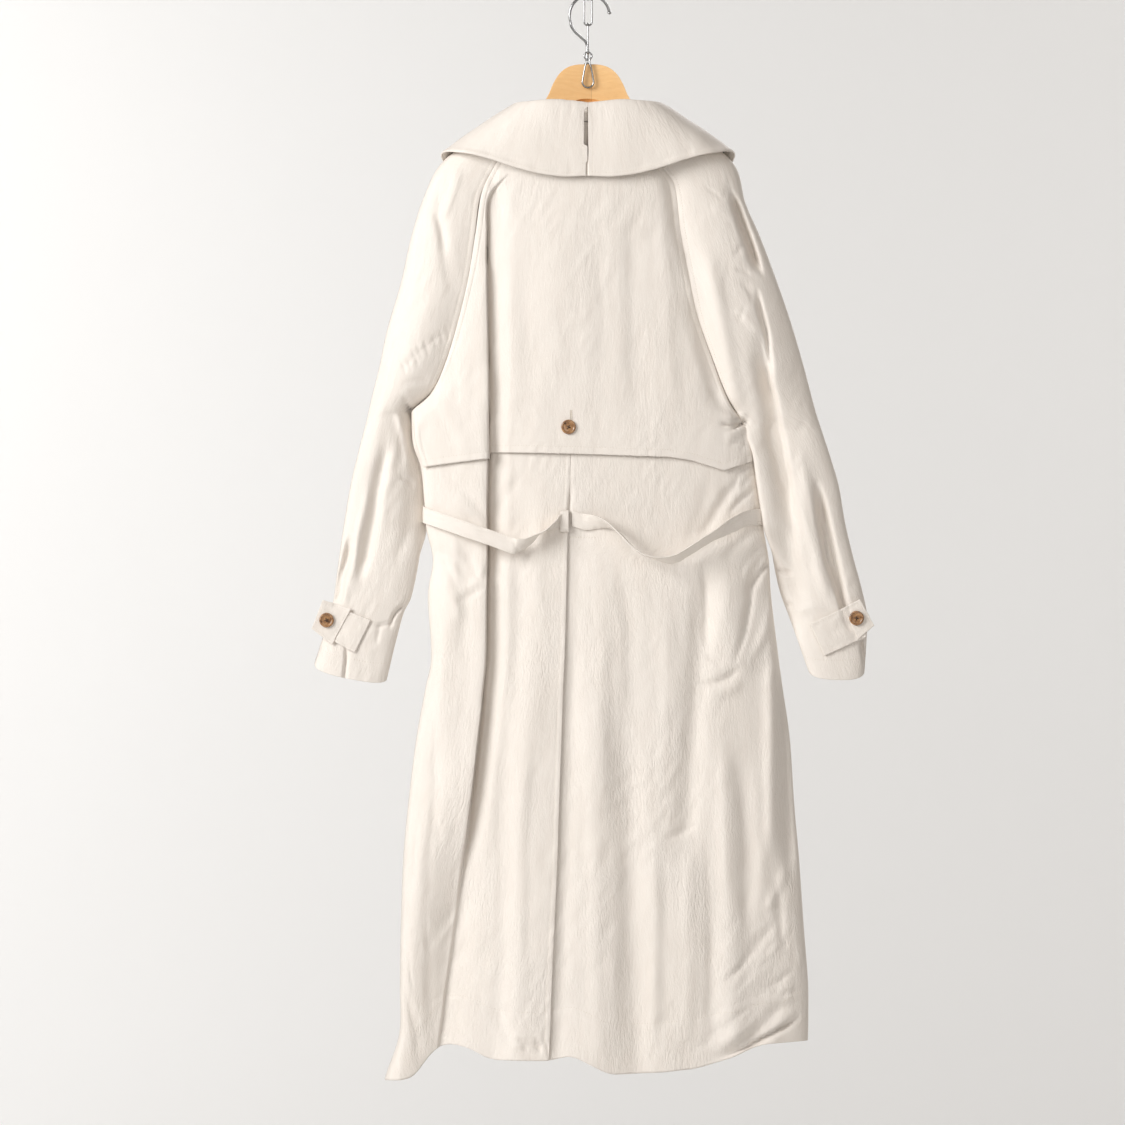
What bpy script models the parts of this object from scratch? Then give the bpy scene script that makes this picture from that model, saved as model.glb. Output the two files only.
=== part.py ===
"""A trench coat with raglan sleeves, hung with its front to the wall on a wooden hanger and a wall hook.

Frame: the wall is the plane y = 0 and the coat hangs before it, at negative y, with its back
outermost. +Z is up, the origin is the centre of the wall hook's plate, on the wall. Tables give
sizes in millimetres: x across, drop downwards from the origin, depth away from the hanger's plane.
"""
import math

import bmesh
import bpy
import numpy as np
from mathutils import Vector

MM = 0.001

# Driving sizes in millimetres
CLOTH = 2.0
SEAM_GAP = 0.3
HANGER_PLANE = -45.0
CHAIN_PLANE = -56.0
PRONG_DROP = 45.0
EDGE_DEPTH = 0.2
FRONT_SHARE = 0.85
ROUNDNESS = 2.3
BELT_WIDTH = 20.0
BELT_THICKNESS = 1.8
BUTTON_RADIUS = 9.2
FLAP_BUTTON_ROW = 9.3
FLAP_BUTTON_X = -23.5
FRONT_BUTTON_ROWS = (7, 11)
FRONT_BUTTONS_X = (-38, 42)
WOOD_THICKNESS = 14.0
WOOD_CHAMFER = 3.5
HOOK_WIRE = 3.6
HOOK_BOW = 25.0
HOOK_CENTRE_X = 2.0
PRONG_BAR = 5.0
PLATE_SIZE = (26.0, 3.0, 56.0)
FLAP_LIFT = CLOTH + 1.2
VENT_DROP = 717.0
VENT_LAP = 38.0
VENT_DIP = CLOTH + 4.0
FRONT_LAP = 45.0

# The chain before the hanger: top and low are the drops of each link's centre line
CHAIN_WIRE = 2.4
LINK_HALF_WIDTH = 4.7
LINK_UPPER_TOP = PRONG_DROP - PRONG_BAR / 2 - SEAM_GAP - CHAIN_WIRE / 2
LINK_UPPER_LOW = 79.0
LINK_LOWER_TOP = LINK_UPPER_LOW - CHAIN_WIRE - SEAM_GAP
LINK_LOWER_LOW = 115.0
CLIP_TOP = LINK_LOWER_LOW - CHAIN_WIRE - SEAM_GAP
CLIP_WAIST = 127.5
CLIP_LOW = 156.5
CLIP_EYE_RADIUS = 4.6
CLIP_BULB_RADIUS = 7.0

# Rows of the sleeves, neck to cuff. The first ten inner points are the raglan seam, which the
# back and front share; row 9 is the underarm. seam_depth is the half depth at the seam and swell
# what the section adds between its two edges.
UNDERARM = 9
SLEEVE_COLUMNS = ("in_x", "in_drop", "out_x", "out_drop", "seam_depth", "swell")
LEFT_SLEEVE_ROWS = (
    (-84, 201, -90, 193, 30, 0),
    (-100, 227, -136, 216, 29, 0),
    (-117, 256, -183, 250, 28, 0),
    (-134, 292, -205, 292, 27, 2),
    (-141, 340, -221, 342, 26, 4),
    (-149, 393, -234, 400, 25, 6),
    (-163, 452, -251, 458, 23, 9),
    (-178, 500, -261, 505, 18, 12),
    (-196, 538, -270, 541, 10, 14),
    (-221, 560, -277, 571, 0, 16),
    (-224, 600, -286, 606, 0, 17),
    (-213.5, 640, -296, 648, 0, 18),
    (-209.5, 700, -305, 700, 0, 18),
    (-209.5, 735, -312, 750, 0, 18),
    (-220, 790, -319, 800, 0, 17),
    (-232, 818, -328, 832, 0, 17),
    (-251, 893, -342, 875, 0, 18),
)
RIGHT_SLEEVE_ROWS = (
    (86, 201, 91, 192, 30, 0),
    (89, 228, 137, 214, 29, 0),
    (93, 256, 183, 252, 28, 0),
    (108, 280, 197, 300, 27, 2),
    (115, 335, 216, 344, 26, 4),
    (125, 388, 237, 400, 25, 6),
    (136, 440, 254, 450, 23, 9),
    (155, 495, 270, 505, 18, 12),
    (176, 548, 284, 558, 10, 14),
    (200, 581, 293, 586, 0, 16),
    (212, 612, 304, 620, 0, 17),
    (218, 650, 314, 655, 0, 18),
    (224.5, 692, 321, 697, 0, 18),
    (231.5, 745, 331, 740, 0, 18),
    (240, 785, 343, 785, 0, 17),
    (252, 818, 349, 820, 0, 17),
    (275, 880, 346, 882, 0, 18),
)
CUFF_DIP = {"left": 11.0, "right": 15.0}

# Body above the underarm, one row for each row of the raglan seam
YOKE_COLUMNS = ("swell", "pleat_x", "centre_x")
YOKE_ROWS = (
    (5, -55, 0),
    (6, -70, 0),
    (7, -88, -2),
    (8, -110, -4),
    (9, -125, -7),
    (10, -126, -11),
    (12, -125, -14),
    (16, -124, -17),
    (24, -124, -19),
    (33, -124, -20),
)

# Body below the underarm, down to the hem
BODY_COLUMNS = ("drop", "left", "right", "swell", "pleat_x", "centre_x")
BODY_ROWS = (
    (600, -219, 206.5, 33, -124, -21),
    (631, -209, 209.5, 33, -124, -22),
    (671, -205, 214, 32, -125, -23),
    (708, -202, 219.5, 32, -125, -25),
    (746, -194, 226, 33, -125, -26),
    (792, -200, 229, 34, -126, -27),
    (866, -196, 238, 35, -127, -29),
    (910, -204, 244, 36, -130, -31),
    (971, -215, 252.5, 37, -138, -33),
    (1053, -225, 258, 38, -148, -36),
    (1121, -231, 264, 38, -156, -38),
    (1207, -234, 270, 39, -167, -42),
    (1271, -235, 275, 39, -178, -45),
    (1320, -236, 275.5, 39, -184, -47),
    (1352, -254, 275, 40, -188, -49),
)
HEM_ROW = UNDERARM + len(BODY_ROWS)
HEM_START_ROW = HEM_ROW - 3

# Lower edge of the back, from side to side
HEM_COLUMNS = ("x", "drop")
HEM_ROWS = (
    (-254, 1395), (-225, 1394), (-212, 1386), (-196, 1359), (-177, 1349), (-152, 1353),
    (-121, 1369), (-49, 1370), (-21, 1363), (5, 1376), (27, 1387), (94, 1384),
    (137, 1379), (180, 1365), (212, 1350), (275, 1346),
)

# The long pleat at the left of the back: its section across, and how deep it is at each row
PLEAT_ACROSS_COLUMNS = ("offset", "share")
PLEAT_ACROSS_ROWS = (
    (-40, 0.0), (-16, 0.22), (-4, 0.35), (3, -0.95), (8, -1.0), (16, -0.6), (40, -0.12), (70, 0.0),
)
PLEAT_DEPTH_COLUMNS = ("row", "depth")
PLEAT_DEPTH_ROWS = ((2, 0), (4, 5), (9, 8), (12, 9), (17, 11), (21, 14), (24, 16))

# Large soft folds: a line from top to bottom, the half width and the rise, a valley below zero
FOLD_COLUMNS = ("top_x", "top_drop", "low_x", "low_drop", "width", "rise")
BACK_FOLD_ROWS = (
    (132, 746, 140, 1171, 14, -5),
    (65, 921, 78, 1450, 18, -7),
    (3, 846, 15, 1450, 16, 6),
    (171, 946, 184, 1450, 18, 5),
    (230, 821, 227, 1134, 10, 4),
    (255, 1290, 160, 1375, 13, -7),
    (-166, 646, -197, 1450, 16, 5),
    (-72, 796, -91, 1450, 18, 5),
    (-100, 921, -118, 1450, 14, -3),
    (146, 346, 190, 583, 12, 6),
    (127, 402, 168, 571, 10, -4),
    (184, 646, 140, 721, 8, -4),
    (178, 746, 186, 900, 18, 4),
    (-249, 597, -286, 790, 9, -6),
    (-238, 571, -303, 800, 8, 4),
    (180, 285, 209, 380, 6, -7),
    (210, 405, 235, 590, 6, -8),
    (235, 570, 262, 700, 6, -7),
    (285, 655, 322, 810, 8, -6),
    (262, 596, 302, 810, 8, 4),
)
FRONT_FOLD_ROWS = (
    (-150, 300, -168, 560, 14, -4),
    (120, 320, 150, 600, 14, -4),
    (-130, 700, -150, 1450, 18, -6),
    (-90, 780, -96, 1450, 16, 5),
    (140, 700, 168, 1450, 18, -6),
    (190, 820, 205, 1450, 16, 5),
    (-252, 600, -290, 800, 9, -5),
    (270, 610, 305, 810, 9, -5),
)
FRONT_NECK_DIP = 42.0

# Loose lower edge of the storm flap, from side to side
FLAP_HEM_COLUMNS = ("x", "drop")
FLAP_HEM_ROWS = (
    (-212, 631), (-128, 620), (-120, 612), (-20, 614), (100, 618), (128, 622), (170, 635), (210, 621),
)

# Where the grids have their rows, and the columns between two guide lines as shares of the way
SEAM_STATIONS = (0, 1, 2, 3, 4, 5, 6, 7, 8, 8.6, 9)
BODY_STATIONS = SEAM_STATIONS + (
    9.5, 10, 11, 12, 13, 13.3, 13.7, 14, 15, 16, 17, 18, 19, 20, 21, 22, 22.6, 23.2, 23.6, 24)
FRONT_STATIONS = SEAM_STATIONS + (10, 12, 14, 16, 18, 20, 22, 23, 24)
SLEEVE_STATIONS = SEAM_STATIONS + (9.5, 10, 11, 12, 13, 14, 15, 15.5, 16)
EDGE_SHARES = (0, 0.02, 0.08, 0.2, 0.42, 0.72)
PLEAT_OFFSETS = (-16, -4, 3, 9, 18)
MIDDLE_SHARES = (0.25, 0.5, 0.75)
SIDE_SHARES = (0.14, 0.24, 0.34, 0.44, 0.54, 0.64, 0.73, 0.81, 0.88, 0.94, 0.98, 0.995, 1)
VENT_OFFSETS = (7, 15)
FRONT_SHARES = (0, 0.01, 0.04, 0.12, 0.25, 0.4, 0.55, 0.7, 0.84, 1)
SLEEVE_SHARES = (0, 0.02, 0.09, 0.2, 0.34, 0.5, 0.66, 0.8, 0.91, 0.98, 1)
SLEEVE_FRONT_SHARES = (0, 0.02, 0.12, 0.3, 0.5, 0.7, 0.88, 0.98, 1)

# Collar, centre back to centre front: where it stands on the neck edge, its roll and its free edge
COLLAR_COLUMNS = ("neck_x", "neck_depth", "neck_drop", "roll_drop", "edge_x", "edge_depth", "edge_drop")
COLLAR_ROWS = (
    (0.15, 33, 199.8, 176.5, 1, 48, 262),
    (22, 33, 199.8, 174.5, 30, 48, 263),
    (44, 33, 199.8, 173, 62, 48, 260),
    (62, 31, 199.8, 173.5, 94, 46, 254),
    (77, 25, 199.2, 174.5, 124, 40, 247),
    (85, 13, 195.5, 175.5, 156, 25, 239),
    (86, 0, 192.0, 176.5, 183, 0, 239),
    (85, -13, 195.5, 180, 170, -37.5, 266),
    (77, -22, 201.5, 187, 150, -38, 296),
    (58, -26.5, 219.0, 199, 122, -40, 320),
    (32, -27.5, 234.5, 213, 84, -41, 334),
    (5, -27.5, 241.5, 221, 42, -41, 328),
)
COLLAR_ROLL = 5.0
COLLAR_FALL_SHARES = (0.12, 0.3, 0.55, 0.8, 1.0)
COLLAR_BULGE = 4.0
COLLAR_FRONT_BULGE = 3.0

# The two stretches of the belt, from the keeper at centre back round the side to the front
BELT_COLUMNS = ("x", "drop", "depth", "tilt")
LEFT_BELT_ROWS = (
    (-26, 694, 34.5, 0),
    (-40, 696, 36.5, 10),
    (-55, 708, 45, 35),
    (-72, 722, 50, 30),
    (-89, 731, 50, 0),
    (-104, 729, 48, -10),
    (-141, 716, 45, 0),
    (-185, 698, 30, 0),
    (-203, 691, 15, 0),
    (-206.8, 689, 0, 0),
    (-203, 688, -14, 0),
    (-180, 688, -26, 0),
    (-130, 690, -31, 0),
    (-70, 692, -34.5, 0),
    (20, 694, -36.5, 0),
)
RIGHT_BELT_ROWS = (
    (-20, 694, 34.5, 0),
    (0, 696, 37, 10),
    (14, 700, 43, 40),
    (30, 714, 49, 60),
    (46, 732, 53, 66),
    (66, 743, 54, 66),
    (92, 747, 52, 50),
    (125, 734, 47, 20),
    (158, 717, 42, 0),
    (196, 699, 29, 0),
    (218, 692, 13, 0),
    (221.8, 691, 0, 0),
    (218, 691, -12, 0),
    (190, 691, -26, 0),
    (130, 692, -33, 0),
    (60, 693, -39.5, 0),
    (-30, 694, -41, 0),
)

# The keeper at centre back: how far it stands off the cloth, from its top to its low end
KEEPER_X = -23.0
KEEPER_HALF_WIDTH = 5.5
KEEPER_ROW = 12.6
KEEPER_CLOTH = 1.2
KEEPER_COLUMNS = ("drop", "lift")
KEEPER_ROWS = ((680, 0.5), (682, 4.4), (687, 5.4), (704, 5.4), (709, 4.4), (711, 0.5))

# Corners of the cuff straps, x and drop: the outer end carries the button and stands past the sleeve
STRAP_COLUMNS = ("outer_top", "outer_low", "inner_low", "inner_top")
STRAP_ROWS = {
    "left": ((-331, 796), (-345, 836), (-291, 862), (-271, 821)),
    "right": ((339, 795), (357, 827), (295, 866), (277, 826)),
}
STRAP_DOWN_SHARES = (0, 0.33, 0.67, 1)
STRAP_OVER_SHARES = (0, 0.12, 0.25, 0.38, 0.52, 0.68, 0.84, 1)
STRAP_BUTTONS = {"left": (-325, 820.5), "right": (336, 819)}
STRAP_LIFT = CLOTH + 0.9

# Section of a button, centre to rim and back to the centre of its back
BUTTON_COLUMNS = ("share", "height")
BUTTON_ROWS = ((0.0, 2.2), (0.55, 2.2), (0.72, 3.2), (0.9, 3.2), (1.0, 1.9), (0.9, 0.5), (0.0, 0.0))

# Centre line of the wall hook's prong, from the plate to its upturned end
PRONG_COLUMNS = ("depth", "drop")
PRONG_ROWS = (
    (1.5, 12), (12, 13), (22, 20), (28, 32), (34, 41), (40, 45), (60, 45), (65, 43), (67.5, 38),
    (68.5, 31), (69, 22),
)

# Centre line of the hanger's hook below its bow: x, and drop below the bow's centre
SHANK_COLUMNS = ("x", "below")
SHANK_ROWS = ((-20.5, 14), (-16, 21), (-9, 27.5), (-3, 33), (-1, 40))

# Outline of the wooden hanger's upper edge, one half, and how tall the wood is below it
HANGER_COLUMNS = ("x", "drop", "height")
HANGER_ROWS = (
    (0, 127, 62), (14, 127.5, 61), (26, 131, 58), (36, 139, 51), (44, 152, 41), (50, 166, 32),
    (58, 177, 27), (74, 190, 27), (90, 199, 27), (115, 211, 26), (140, 224, 25), (160, 237, 23),
    (172, 248, 18), (176, 254, 10),
)

# Colours, roughness and metallic value of each finish
CLOTH_FINISH = ("ecru cloth", (0.87, 0.81, 0.71), 0.78, 0.0)
HORN_FINISH = ("horn", (0.20, 0.11, 0.055), 0.35, 0.0)
WOOD_FINISH = ("honey wood", (0.80, 0.45, 0.17), 0.42, 0.0)
STEEL_FINISH = ("steel", (0.62, 0.62, 0.63), 0.28, 1.0)


def columns_of(names, rows):
    """A table's columns by name."""
    return {name: np.array([row[i] for row in rows], float) for i, name in enumerate(names)}


LEFT_SLEEVE = columns_of(SLEEVE_COLUMNS, LEFT_SLEEVE_ROWS)
RIGHT_SLEEVE = columns_of(SLEEVE_COLUMNS, RIGHT_SLEEVE_ROWS)
YOKE = columns_of(YOKE_COLUMNS, YOKE_ROWS)
BODY = columns_of(BODY_COLUMNS, BODY_ROWS)
HEM = columns_of(HEM_COLUMNS, HEM_ROWS)
PLEAT_ACROSS = columns_of(PLEAT_ACROSS_COLUMNS, PLEAT_ACROSS_ROWS)
PLEAT_DEPTH = columns_of(PLEAT_DEPTH_COLUMNS, PLEAT_DEPTH_ROWS)
BACK_FOLDS = columns_of(FOLD_COLUMNS, BACK_FOLD_ROWS)
FRONT_FOLDS = columns_of(FOLD_COLUMNS, FRONT_FOLD_ROWS)
COLLAR = columns_of(COLLAR_COLUMNS, COLLAR_ROWS)
HANGER = columns_of(HANGER_COLUMNS, HANGER_ROWS)


def whole_side(seam, body):
    """One side line of the body: the raglan seam above, the side edge below."""
    return np.concatenate([seam[:UNDERARM + 1], body])


SIDES = {
    "left_x": whole_side(LEFT_SLEEVE["in_x"], BODY["left"]),
    "left_drop": whole_side(LEFT_SLEEVE["in_drop"], BODY["drop"]),
    "right_x": whole_side(RIGHT_SLEEVE["in_x"], BODY["right"]),
    "right_drop": whole_side(RIGHT_SLEEVE["in_drop"], BODY["drop"]),
    "left_depth": whole_side(LEFT_SLEEVE["seam_depth"], 0 * BODY["drop"]),
    "right_depth": whole_side(RIGHT_SLEEVE["seam_depth"], 0 * BODY["drop"]),
    "swell": np.concatenate([YOKE["swell"], BODY["swell"]]),
    "pleat_x": np.concatenate([YOKE["pleat_x"], BODY["pleat_x"]]),
    "centre_x": np.concatenate([YOKE["centre_x"], BODY["centre_x"]]),
}


def through(values, row):
    """A smooth line through a column's values, broken at the underarm so both sides of a seam agree."""
    first, last = (0, UNDERARM) if row <= UNDERARM else (UNDERARM, len(values) - 1)
    i = min(max(int(math.floor(row)), first), last - 1)
    share = row - i
    before, start, end, after = (values[min(max(k, first), last)] for k in (i - 1, i, i + 1, i + 2))
    lean_in = (end - before) / 2
    lean_out = (after - start) / 2
    square, cube = share * share, share ** 3
    return ((2 * cube - 3 * square + 1) * start + (cube - 2 * square + share) * lean_in
            + (3 * square - 2 * cube) * end + (cube - square) * lean_out)


def ease(value, low, high):
    """Smooth step from 0 at low to 1 at high."""
    share = min(max((value - low) / (high - low), 0.0), 1.0)
    return share * share * (3 - 2 * share)


def arch(share):
    """Height of a flattened tube across its width, 0 at both edges."""
    return max(0.0, 1 - abs(2 * share - 1) ** ROUNDNESS) ** (1 / ROUNDNESS)


def quarter(share):
    """Height of half a flattened tube, 1 at the seam and 0 at the outer edge."""
    return max(0.0, 1 - share ** ROUNDNESS) ** (1 / ROUNDNESS)


def folds_at(folds, x, drop):
    """Rise of all the large folds at one place."""
    rise = 0.0
    for i in range(len(folds["rise"])):
        share = (drop - folds["top_drop"][i]) / (folds["low_drop"][i] - folds["top_drop"][i])
        if not 0 < share < 1:
            continue
        line_x = folds["top_x"][i] + share * (folds["low_x"][i] - folds["top_x"][i])
        fade = ease(share, 0, 0.25) * ease(1 - share, 0, 0.2)
        rise += folds["rise"][i] * fade * math.exp(-((x - line_x) / folds["width"][i]) ** 2)
    return rise


def hem_drop(row, drop, x):
    """Lowers the last rows onto the uneven hem."""
    if row <= HEM_START_ROW:
        return drop
    share = ((row - HEM_START_ROW) / (HEM_ROW - HEM_START_ROW)) ** 2
    return drop + share * (np.interp(x, HEM["x"], HEM["drop"]) - BODY["drop"][-1])


def layered(depth, rise):
    """Half depth with folds, which fade at the edges and leave room for the wall."""
    full = depth + rise * min(1.0, depth / 12)
    return max(full, min(depth, CLOTH + 1.5))


def body_place(row, x_at):
    """Share across the body, drop and plain half depth at x on one row."""
    left, right = through(SIDES["left_x"], row), through(SIDES["right_x"], row)
    share = min(max((x_at - left) / (right - left), 0.0), 1.0)
    drop = (1 - share) * through(SIDES["left_drop"], row) + share * through(SIDES["right_drop"], row)
    seam = (1 - share) * through(SIDES["left_depth"], row) + share * through(SIDES["right_depth"], row)
    depth = EDGE_DEPTH + max(0.0, seam) + through(SIDES["swell"], row) * arch(share)
    return drop, depth


def back_point(row, x, dip=0.0):
    """A point of the back's outer face."""
    drop, depth = body_place(row, x)
    drop = hem_drop(row, drop, x)
    pleat = np.interp(x - through(SIDES["pleat_x"], row), PLEAT_ACROSS["offset"], PLEAT_ACROSS["share"])
    pleat *= np.interp(row, PLEAT_DEPTH["row"], PLEAT_DEPTH["depth"])
    depth = layered(depth, folds_at(BACK_FOLDS, x, drop) + pleat - dip)
    return (x, HANGER_PLANE - depth, -drop)


def front_point(row, x, dip=0.0):
    """A point of the front's outer face, which is towards the wall."""
    drop, depth = body_place(row, x)
    drop = hem_drop(row, drop, x)
    across = min(1.0, (x / LEFT_SLEEVE["in_x"][0]) ** 2)
    drop += FRONT_NECK_DIP * (1 - across) * (1 - ease(row, 0, 5))
    depth = layered(depth, folds_at(FRONT_FOLDS, x, drop) - dip)
    return (x, HANGER_PLANE + FRONT_SHARE * depth, -drop)


def sleeve_point(sleeve, side, row, share, facing):
    """A point of a sleeve's outer face; share runs from the seam to the outer edge."""
    x = (1 - share) * through(sleeve["in_x"], row) + share * through(sleeve["out_x"], row)
    drop = (1 - share) * through(sleeve["in_drop"], row) + share * through(sleeve["out_drop"], row)
    last = len(sleeve["in_x"]) - 1
    drop += CUFF_DIP[side] * arch(share) * ease(row, last - 1.5, last)
    depth = EDGE_DEPTH + max(0.0, through(sleeve["seam_depth"], row)) * quarter(share)
    depth += through(sleeve["swell"], row) * arch(share)
    folds = BACK_FOLDS if facing < 0 else FRONT_FOLDS
    depth = layered(depth, folds_at(folds, x, drop))
    if facing > 0:
        depth *= FRONT_SHARE
    return (x, HANGER_PLANE + facing * depth, -drop)


def grid_normals(grid):
    """Mean normal at each point of a grid, from the quads around it."""
    rows, cols = grid.shape[:2]
    normals = np.zeros_like(grid)
    quads = np.cross(grid[1:, 1:] - grid[:-1, :-1], grid[1:, :-1] - grid[:-1, 1:])
    for down in (0, 1):
        for over in (0, 1):
            normals[down:rows - 1 + down, over:cols - 1 + over] += quads
    return normals / np.maximum(np.linalg.norm(normals, axis=2, keepdims=True), 1e-9)


def edge_outward(grid, column, inner_column):
    """Direction in the hanger's plane, square to an edge column and away from the cloth."""
    along = np.gradient(grid[:, column], axis=0)
    outward = np.stack([along[:, 2], 0 * along[:, 1], -along[:, 0]], axis=1)
    outward /= np.maximum(np.linalg.norm(outward, axis=1, keepdims=True), 1e-9)
    toward_cloth = grid[:, inner_column] - grid[:, column]
    outward *= -np.sign(np.sum(outward * toward_cloth, axis=1, keepdims=True) + 1e-12)
    return outward


def panel_normals(grid, facing, open_columns=()):
    """Normals of a panel that faces -Y or +Y; open columns are edges that never roll over."""
    normals = grid_normals(grid)
    middle = normals[:, grid.shape[1] // 2, 1].mean()
    if middle * facing < 0:
        normals = -normals
    for column, inner_column in ((0, 3), (-1, -4)):
        depth = np.abs(grid[:, column, 1] - HANGER_PLANE)
        if column in open_columns:
            normals[:, column] = (0, facing, 0)
            continue
        flat = np.clip((depth - SEAM_GAP / 2) / CLOTH, 0, 1)
        outward = edge_outward(grid, column, inner_column)
        normals[:, column] = np.sqrt(1 - flat ** 2)[:, None] * outward
        normals[:, column, 1] = facing * flat
    return normals


def wall(name, grid, normals, finish, thickness=CLOTH, facing=0):
    """A closed sheet: the grid is its outer face and the inner face lies one thickness below."""
    inner = grid - thickness * normals
    if facing:
        reach = facing * (inner[:, :, 1] - HANGER_PLANE)
        inner[:, :, 1] = HANGER_PLANE + facing * np.maximum(reach, SEAM_GAP / 2)
    rows, cols = grid.shape[:2]
    mesh = bmesh.new()
    outer_verts = [[mesh.verts.new(point * MM) for point in line] for line in grid]
    inner_verts = [[mesh.verts.new(point * MM) for point in line] for line in inner]
    for r in range(rows - 1):
        for c in range(cols - 1):
            corners = ((r, c), (r + 1, c), (r + 1, c + 1), (r, c + 1))
            falling = np.linalg.norm(grid[r, c] - grid[r + 1, c + 1])
            rising = np.linalg.norm(grid[r + 1, c] - grid[r, c + 1])
            turn = 0 if falling <= rising else 1
            order = [corners[(k + turn) % 4] for k in range(4)]
            for triangle in ((order[0], order[1], order[2]), (order[0], order[2], order[3])):
                mesh.faces.new([outer_verts[i][j] for i, j in triangle])
                mesh.faces.new([inner_verts[i][j] for i, j in reversed(triangle)])
    rim = [(r, 0) for r in range(rows)] + [(rows - 1, c) for c in range(1, cols)]
    rim += [(r, cols - 1) for r in range(rows - 2, -1, -1)] + [(0, c) for c in range(cols - 2, 0, -1)]
    for (i, j), (k, m) in zip(rim, rim[1:] + rim[:1]):
        mesh.faces.new((outer_verts[k][m], outer_verts[i][j], inner_verts[i][j]))
        mesh.faces.new((outer_verts[k][m], inner_verts[i][j], inner_verts[k][m]))
    bmesh.ops.recalc_face_normals(mesh, faces=mesh.faces)
    return finished(name, mesh, finish)


def finished(name, mesh, finish, origin=(0, 0, 0)):
    """Makes an object of a mesh, with its finish, its origin moved to the given point."""
    data = bpy.data.meshes.new(name)
    bmesh.ops.translate(mesh, verts=mesh.verts, vec=[-value * MM for value in origin])
    mesh.to_mesh(data)
    mesh.free()
    data.shade_smooth()
    data.set_sharp_from_angle(angle=math.radians(40))
    thing = bpy.data.objects.new(name, data)
    thing.location = [value * MM for value in origin]
    bpy.context.scene.collection.objects.link(thing)
    data.materials.append(material_of(name, finish))
    return thing


def material_of(name, finish):
    """A Principled material for one sub-part."""
    label, colour, roughness, metallic = finish
    material = bpy.data.materials.new(label + " " + name)
    material.use_nodes = True
    shader = material.node_tree.nodes["Principled BSDF"]
    shader.inputs["Base Color"].default_value = (*colour, 1)
    shader.inputs["Roughness"].default_value = roughness
    shader.inputs["Metallic"].default_value = metallic
    return material


def back_left_columns(row):
    """Where the left half of the back has its columns on one row."""
    left = through(SIDES["left_x"], row) + SEAM_GAP / 2
    pleat = through(SIDES["pleat_x"], row)
    centre = through(SIDES["centre_x"], row) - SEAM_GAP / 2
    lip = pleat + PLEAT_OFFSETS[0]
    foot = pleat + PLEAT_OFFSETS[-1]
    columns = [left + share * (lip - left) for share in EDGE_SHARES]
    columns += [pleat + offset for offset in PLEAT_OFFSETS]
    return columns + [foot + share * (centre - foot) for share in MIDDLE_SHARES] + [centre]


def vent_lap(row):
    """How far the right half runs on under the left half."""
    level = through(SIDES["left_drop"], row)
    return VENT_LAP * ease(level, VENT_DROP + 5, VENT_DROP + 30)


def vent_dip(row, x):
    """How far the right half sinks near the centre to pass under the left half."""
    level = through(SIDES["left_drop"], row)
    beside = x - through(SIDES["centre_x"], row)
    shade = ease(level, VENT_DROP - 25, VENT_DROP + 3)
    return shade * (VENT_DIP * (1 - ease(beside, 1, 18)) + 3.0 * math.exp(-((beside - 10) / 6) ** 2))


def back_right_columns(row):
    """Where the right half of the back has its columns on one row."""
    centre = through(SIDES["centre_x"], row) + SEAM_GAP / 2
    right = through(SIDES["right_x"], row) - SEAM_GAP / 2
    lap = vent_lap(row)
    columns = [centre - lap, centre - lap / 2 + 2] + [centre + offset for offset in VENT_OFFSETS]
    return columns + [centre + share * (right - centre) for share in SIDE_SHARES]


def back_panels():
    """Both halves of the back; the left one laps over the right one at the vent."""
    left = np.array([[back_point(row, x) for x in back_left_columns(row)] for row in BODY_STATIONS])
    wall("back_left", left, panel_normals(left, -1, (-1,)), CLOTH_FINISH, facing=-1)
    right = np.array([[back_point(row, x, vent_dip(row, x)) for x in back_right_columns(row)]
                      for row in BODY_STATIONS])
    wall("back_right", right, panel_normals(right, -1, (0,)), CLOTH_FINISH, facing=-1)


def front_panels():
    """Both fronts, double-breasted: the right front laps over the left one."""
    def columns(row, side):
        left, right = through(SIDES["left_x"], row), through(SIDES["right_x"], row)
        middle = (left + right) / 2
        if side == "left":
            start, end = left + SEAM_GAP / 2, middle + FRONT_LAP
        else:
            start, end = right - SEAM_GAP / 2, middle - FRONT_LAP
        return [start + share * (end - start) for share in FRONT_SHARES]

    def tucked(row, x):
        middle = (through(SIDES["left_x"], row) + through(SIDES["right_x"], row)) / 2
        return (CLOTH + 3) * ease(x, middle - FRONT_LAP - 45, middle - FRONT_LAP - 5)

    left = np.array([[front_point(row, x, tucked(row, x)) for x in columns(row, "left")]
                     for row in FRONT_STATIONS])
    wall("front_left", left, panel_normals(left, 1, (-1,)), CLOTH_FINISH, facing=1)
    right = np.array([[front_point(row, x) for x in columns(row, "right")] for row in FRONT_STATIONS])
    wall("front_right", right, panel_normals(right, 1, (-1,)), CLOTH_FINISH, facing=1)


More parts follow.
